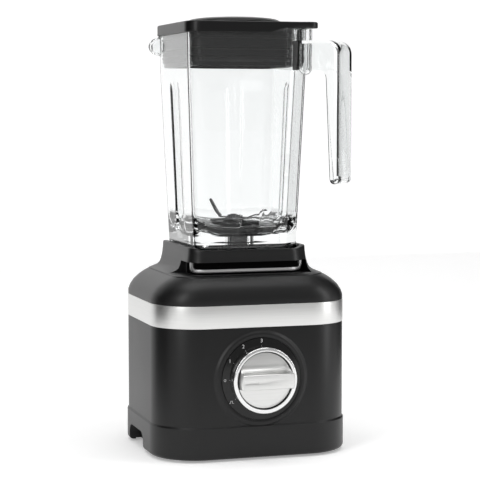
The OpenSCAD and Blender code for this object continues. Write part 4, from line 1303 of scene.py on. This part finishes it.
class BLENDER_OT_stage(bpy.types.Operator):
    """Builds the floor, the lights and the camera"""

    bl_idname = "blender.stage"
    bl_label = "Stage"

    def execute(self, context):
        self.floor()
        self.sky(context)
        self.lamp("key", (-1.5, -1.2, 1.2), (0.5, 1.7), 12)
        self.lamp("side", (1.5, -0.8, 0.8), (0.35, 1.6), 8)
        self.lamp("top", (0.0, -0.15, 2.1), (1.8, 1.3), 17)
        self.card("left", (-0.62, 0.12, 0.5), 62)
        self.card("right", (0.74, 0.3, 0.5), -54)
        self.camera(context)
        return {"FINISHED"}

    def floor(self):
        """A pale floor that curves up into a backdrop."""
        deselect()
        bpy.ops.mesh.primitive_plane_add(size=6, location=(0, 0, 0))
        piece = named("floor")
        edit(piece, "EDGE")
        pick(piece, "edges", lambda e: all(v.co.y > 2.9 for v in e.verts))
        bpy.ops.mesh.extrude_region_move(TRANSFORM_OT_translate={"value": (0, 0, 3)})
        round_edges(piece, lambda e: all(v.co.y > 2.9 and v.co.z < 0.1 for v in e.verts), 1.2, 16)
        bpy.ops.object.shade_smooth()
        for name, glow in (("pale floor", 0.3), ("pale backdrop", 0.44)):
            piece.data.materials.append(new_material(
                name, None, {}, base_color=(0.92, 0.92, 0.92, 1), roughness=0.8, specular_ior_level=0.1,
                emission_color=(1, 1, 1, 1), emission_strength=glow))
        for face in piece.data.polygons:
            face.material_index = 1 if face.center.z > 0.001 else 0

    def sky(self, context):
        world = bpy.data.worlds.new("studio")
        world.use_nodes = True
        world.node_tree.nodes["Background"].inputs["Color"].default_value = (1, 1, 1, 1)
        world.node_tree.nodes["Background"].inputs["Strength"].default_value = 0.42
        context.scene.world = world
        context.scene.view_settings.view_transform = "Standard"

    def lamp(self, name, place, size, power):
        """A soft rectangular lamp aimed at the middle of the blender."""
        deselect()
        bpy.ops.object.light_add(type="AREA", location=place)
        lamp = named(name)
        lamp.data.shape = "RECTANGLE"
        lamp.data.size, lamp.data.size_y = size
        lamp.data.energy = power
        aim = Vector((0, AXIS_Y, 0.17)) - Vector(place)
        lamp.rotation_euler = aim.to_track_quat("-Z", "Y").to_euler()

    def card(self, name, place, turn):
        """A tall black card beside the blender, which draws dark edges into the clear jar."""
        deselect()
        bpy.ops.mesh.primitive_plane_add(
            size=1, location=place, rotation=(math.radians(90), 0, math.radians(turn)))
        piece = named("card_" + name)
        piece.scale = (0.5, 1.0, 1.0)
        settle()
        piece.data.materials.append(finish("card black"))
        piece.visible_camera = False

    def camera(self, context):
        """Front, a little from the left and from above, with a long lens."""
        turn, distance, height, tilt = math.radians(-17.45), 1.5135, 0.3114, math.radians(4.6)
        deselect()
        bpy.ops.object.camera_add(
            location=(distance * math.sin(turn), AXIS_Y - distance * math.cos(turn), height),
            rotation=(math.radians(90) - tilt, 0, turn))
        camera = named("camera")
        camera.data.lens = 123.1
        camera.data.sensor_width = 36
        camera.data.shift_x = 0.0131
        context.scene.camera = camera


GROUPS = {"blender_base": BaseSizes, "blender_dial": DialSizes, "blender_jar": JarSizes,
          "blender_lid": LidSizes, "blender_finishes": Finishes}
STEPS = (BLENDER_OT_stage, BLENDER_OT_node_finishes, BLENDER_OT_lower_housing, BLENDER_OT_band,
         BLENDER_OT_top_housing, BLENDER_OT_slot_trim, BLENDER_OT_dial, BLENDER_OT_knob, BLENDER_OT_jar,
         BLENDER_OT_blades, BLENDER_OT_lid, BLENDER_OT_cap)


class BLENDER_PT_sidebar(bpy.types.Panel):
    """Lists the sizes and the building steps"""

    bl_idname = "BLENDER_PT_sidebar"
    bl_label = "Countertop blender"
    bl_space_type = "VIEW_3D"
    bl_region_type = "UI"
    bl_category = "Countertop blender"

    def draw(self, context):
        for step in STEPS:
            self.layout.operator(step.bl_idname)
        for name, group in GROUPS.items():
            box = self.layout.box()
            for setting in group.__annotations__:
                box.prop(getattr(context.scene, name), setting)


def register():
    for item in (*GROUPS.values(), *STEPS, BLENDER_PT_sidebar):
        bpy.utils.register_class(item)
    for name, group in GROUPS.items():
        setattr(bpy.types.Scene, name, bpy.props.PointerProperty(type=group))


def unregister():
    for name in GROUPS:
        delattr(bpy.types.Scene, name)
    for item in reversed((*GROUPS.values(), *STEPS, BLENDER_PT_sidebar)):
        bpy.utils.unregister_class(item)


def main():
    register()
    for step in STEPS:
        getattr(bpy.ops.blender, step.bl_idname.split(".")[1])()


if __name__ == "__main__":
    main()
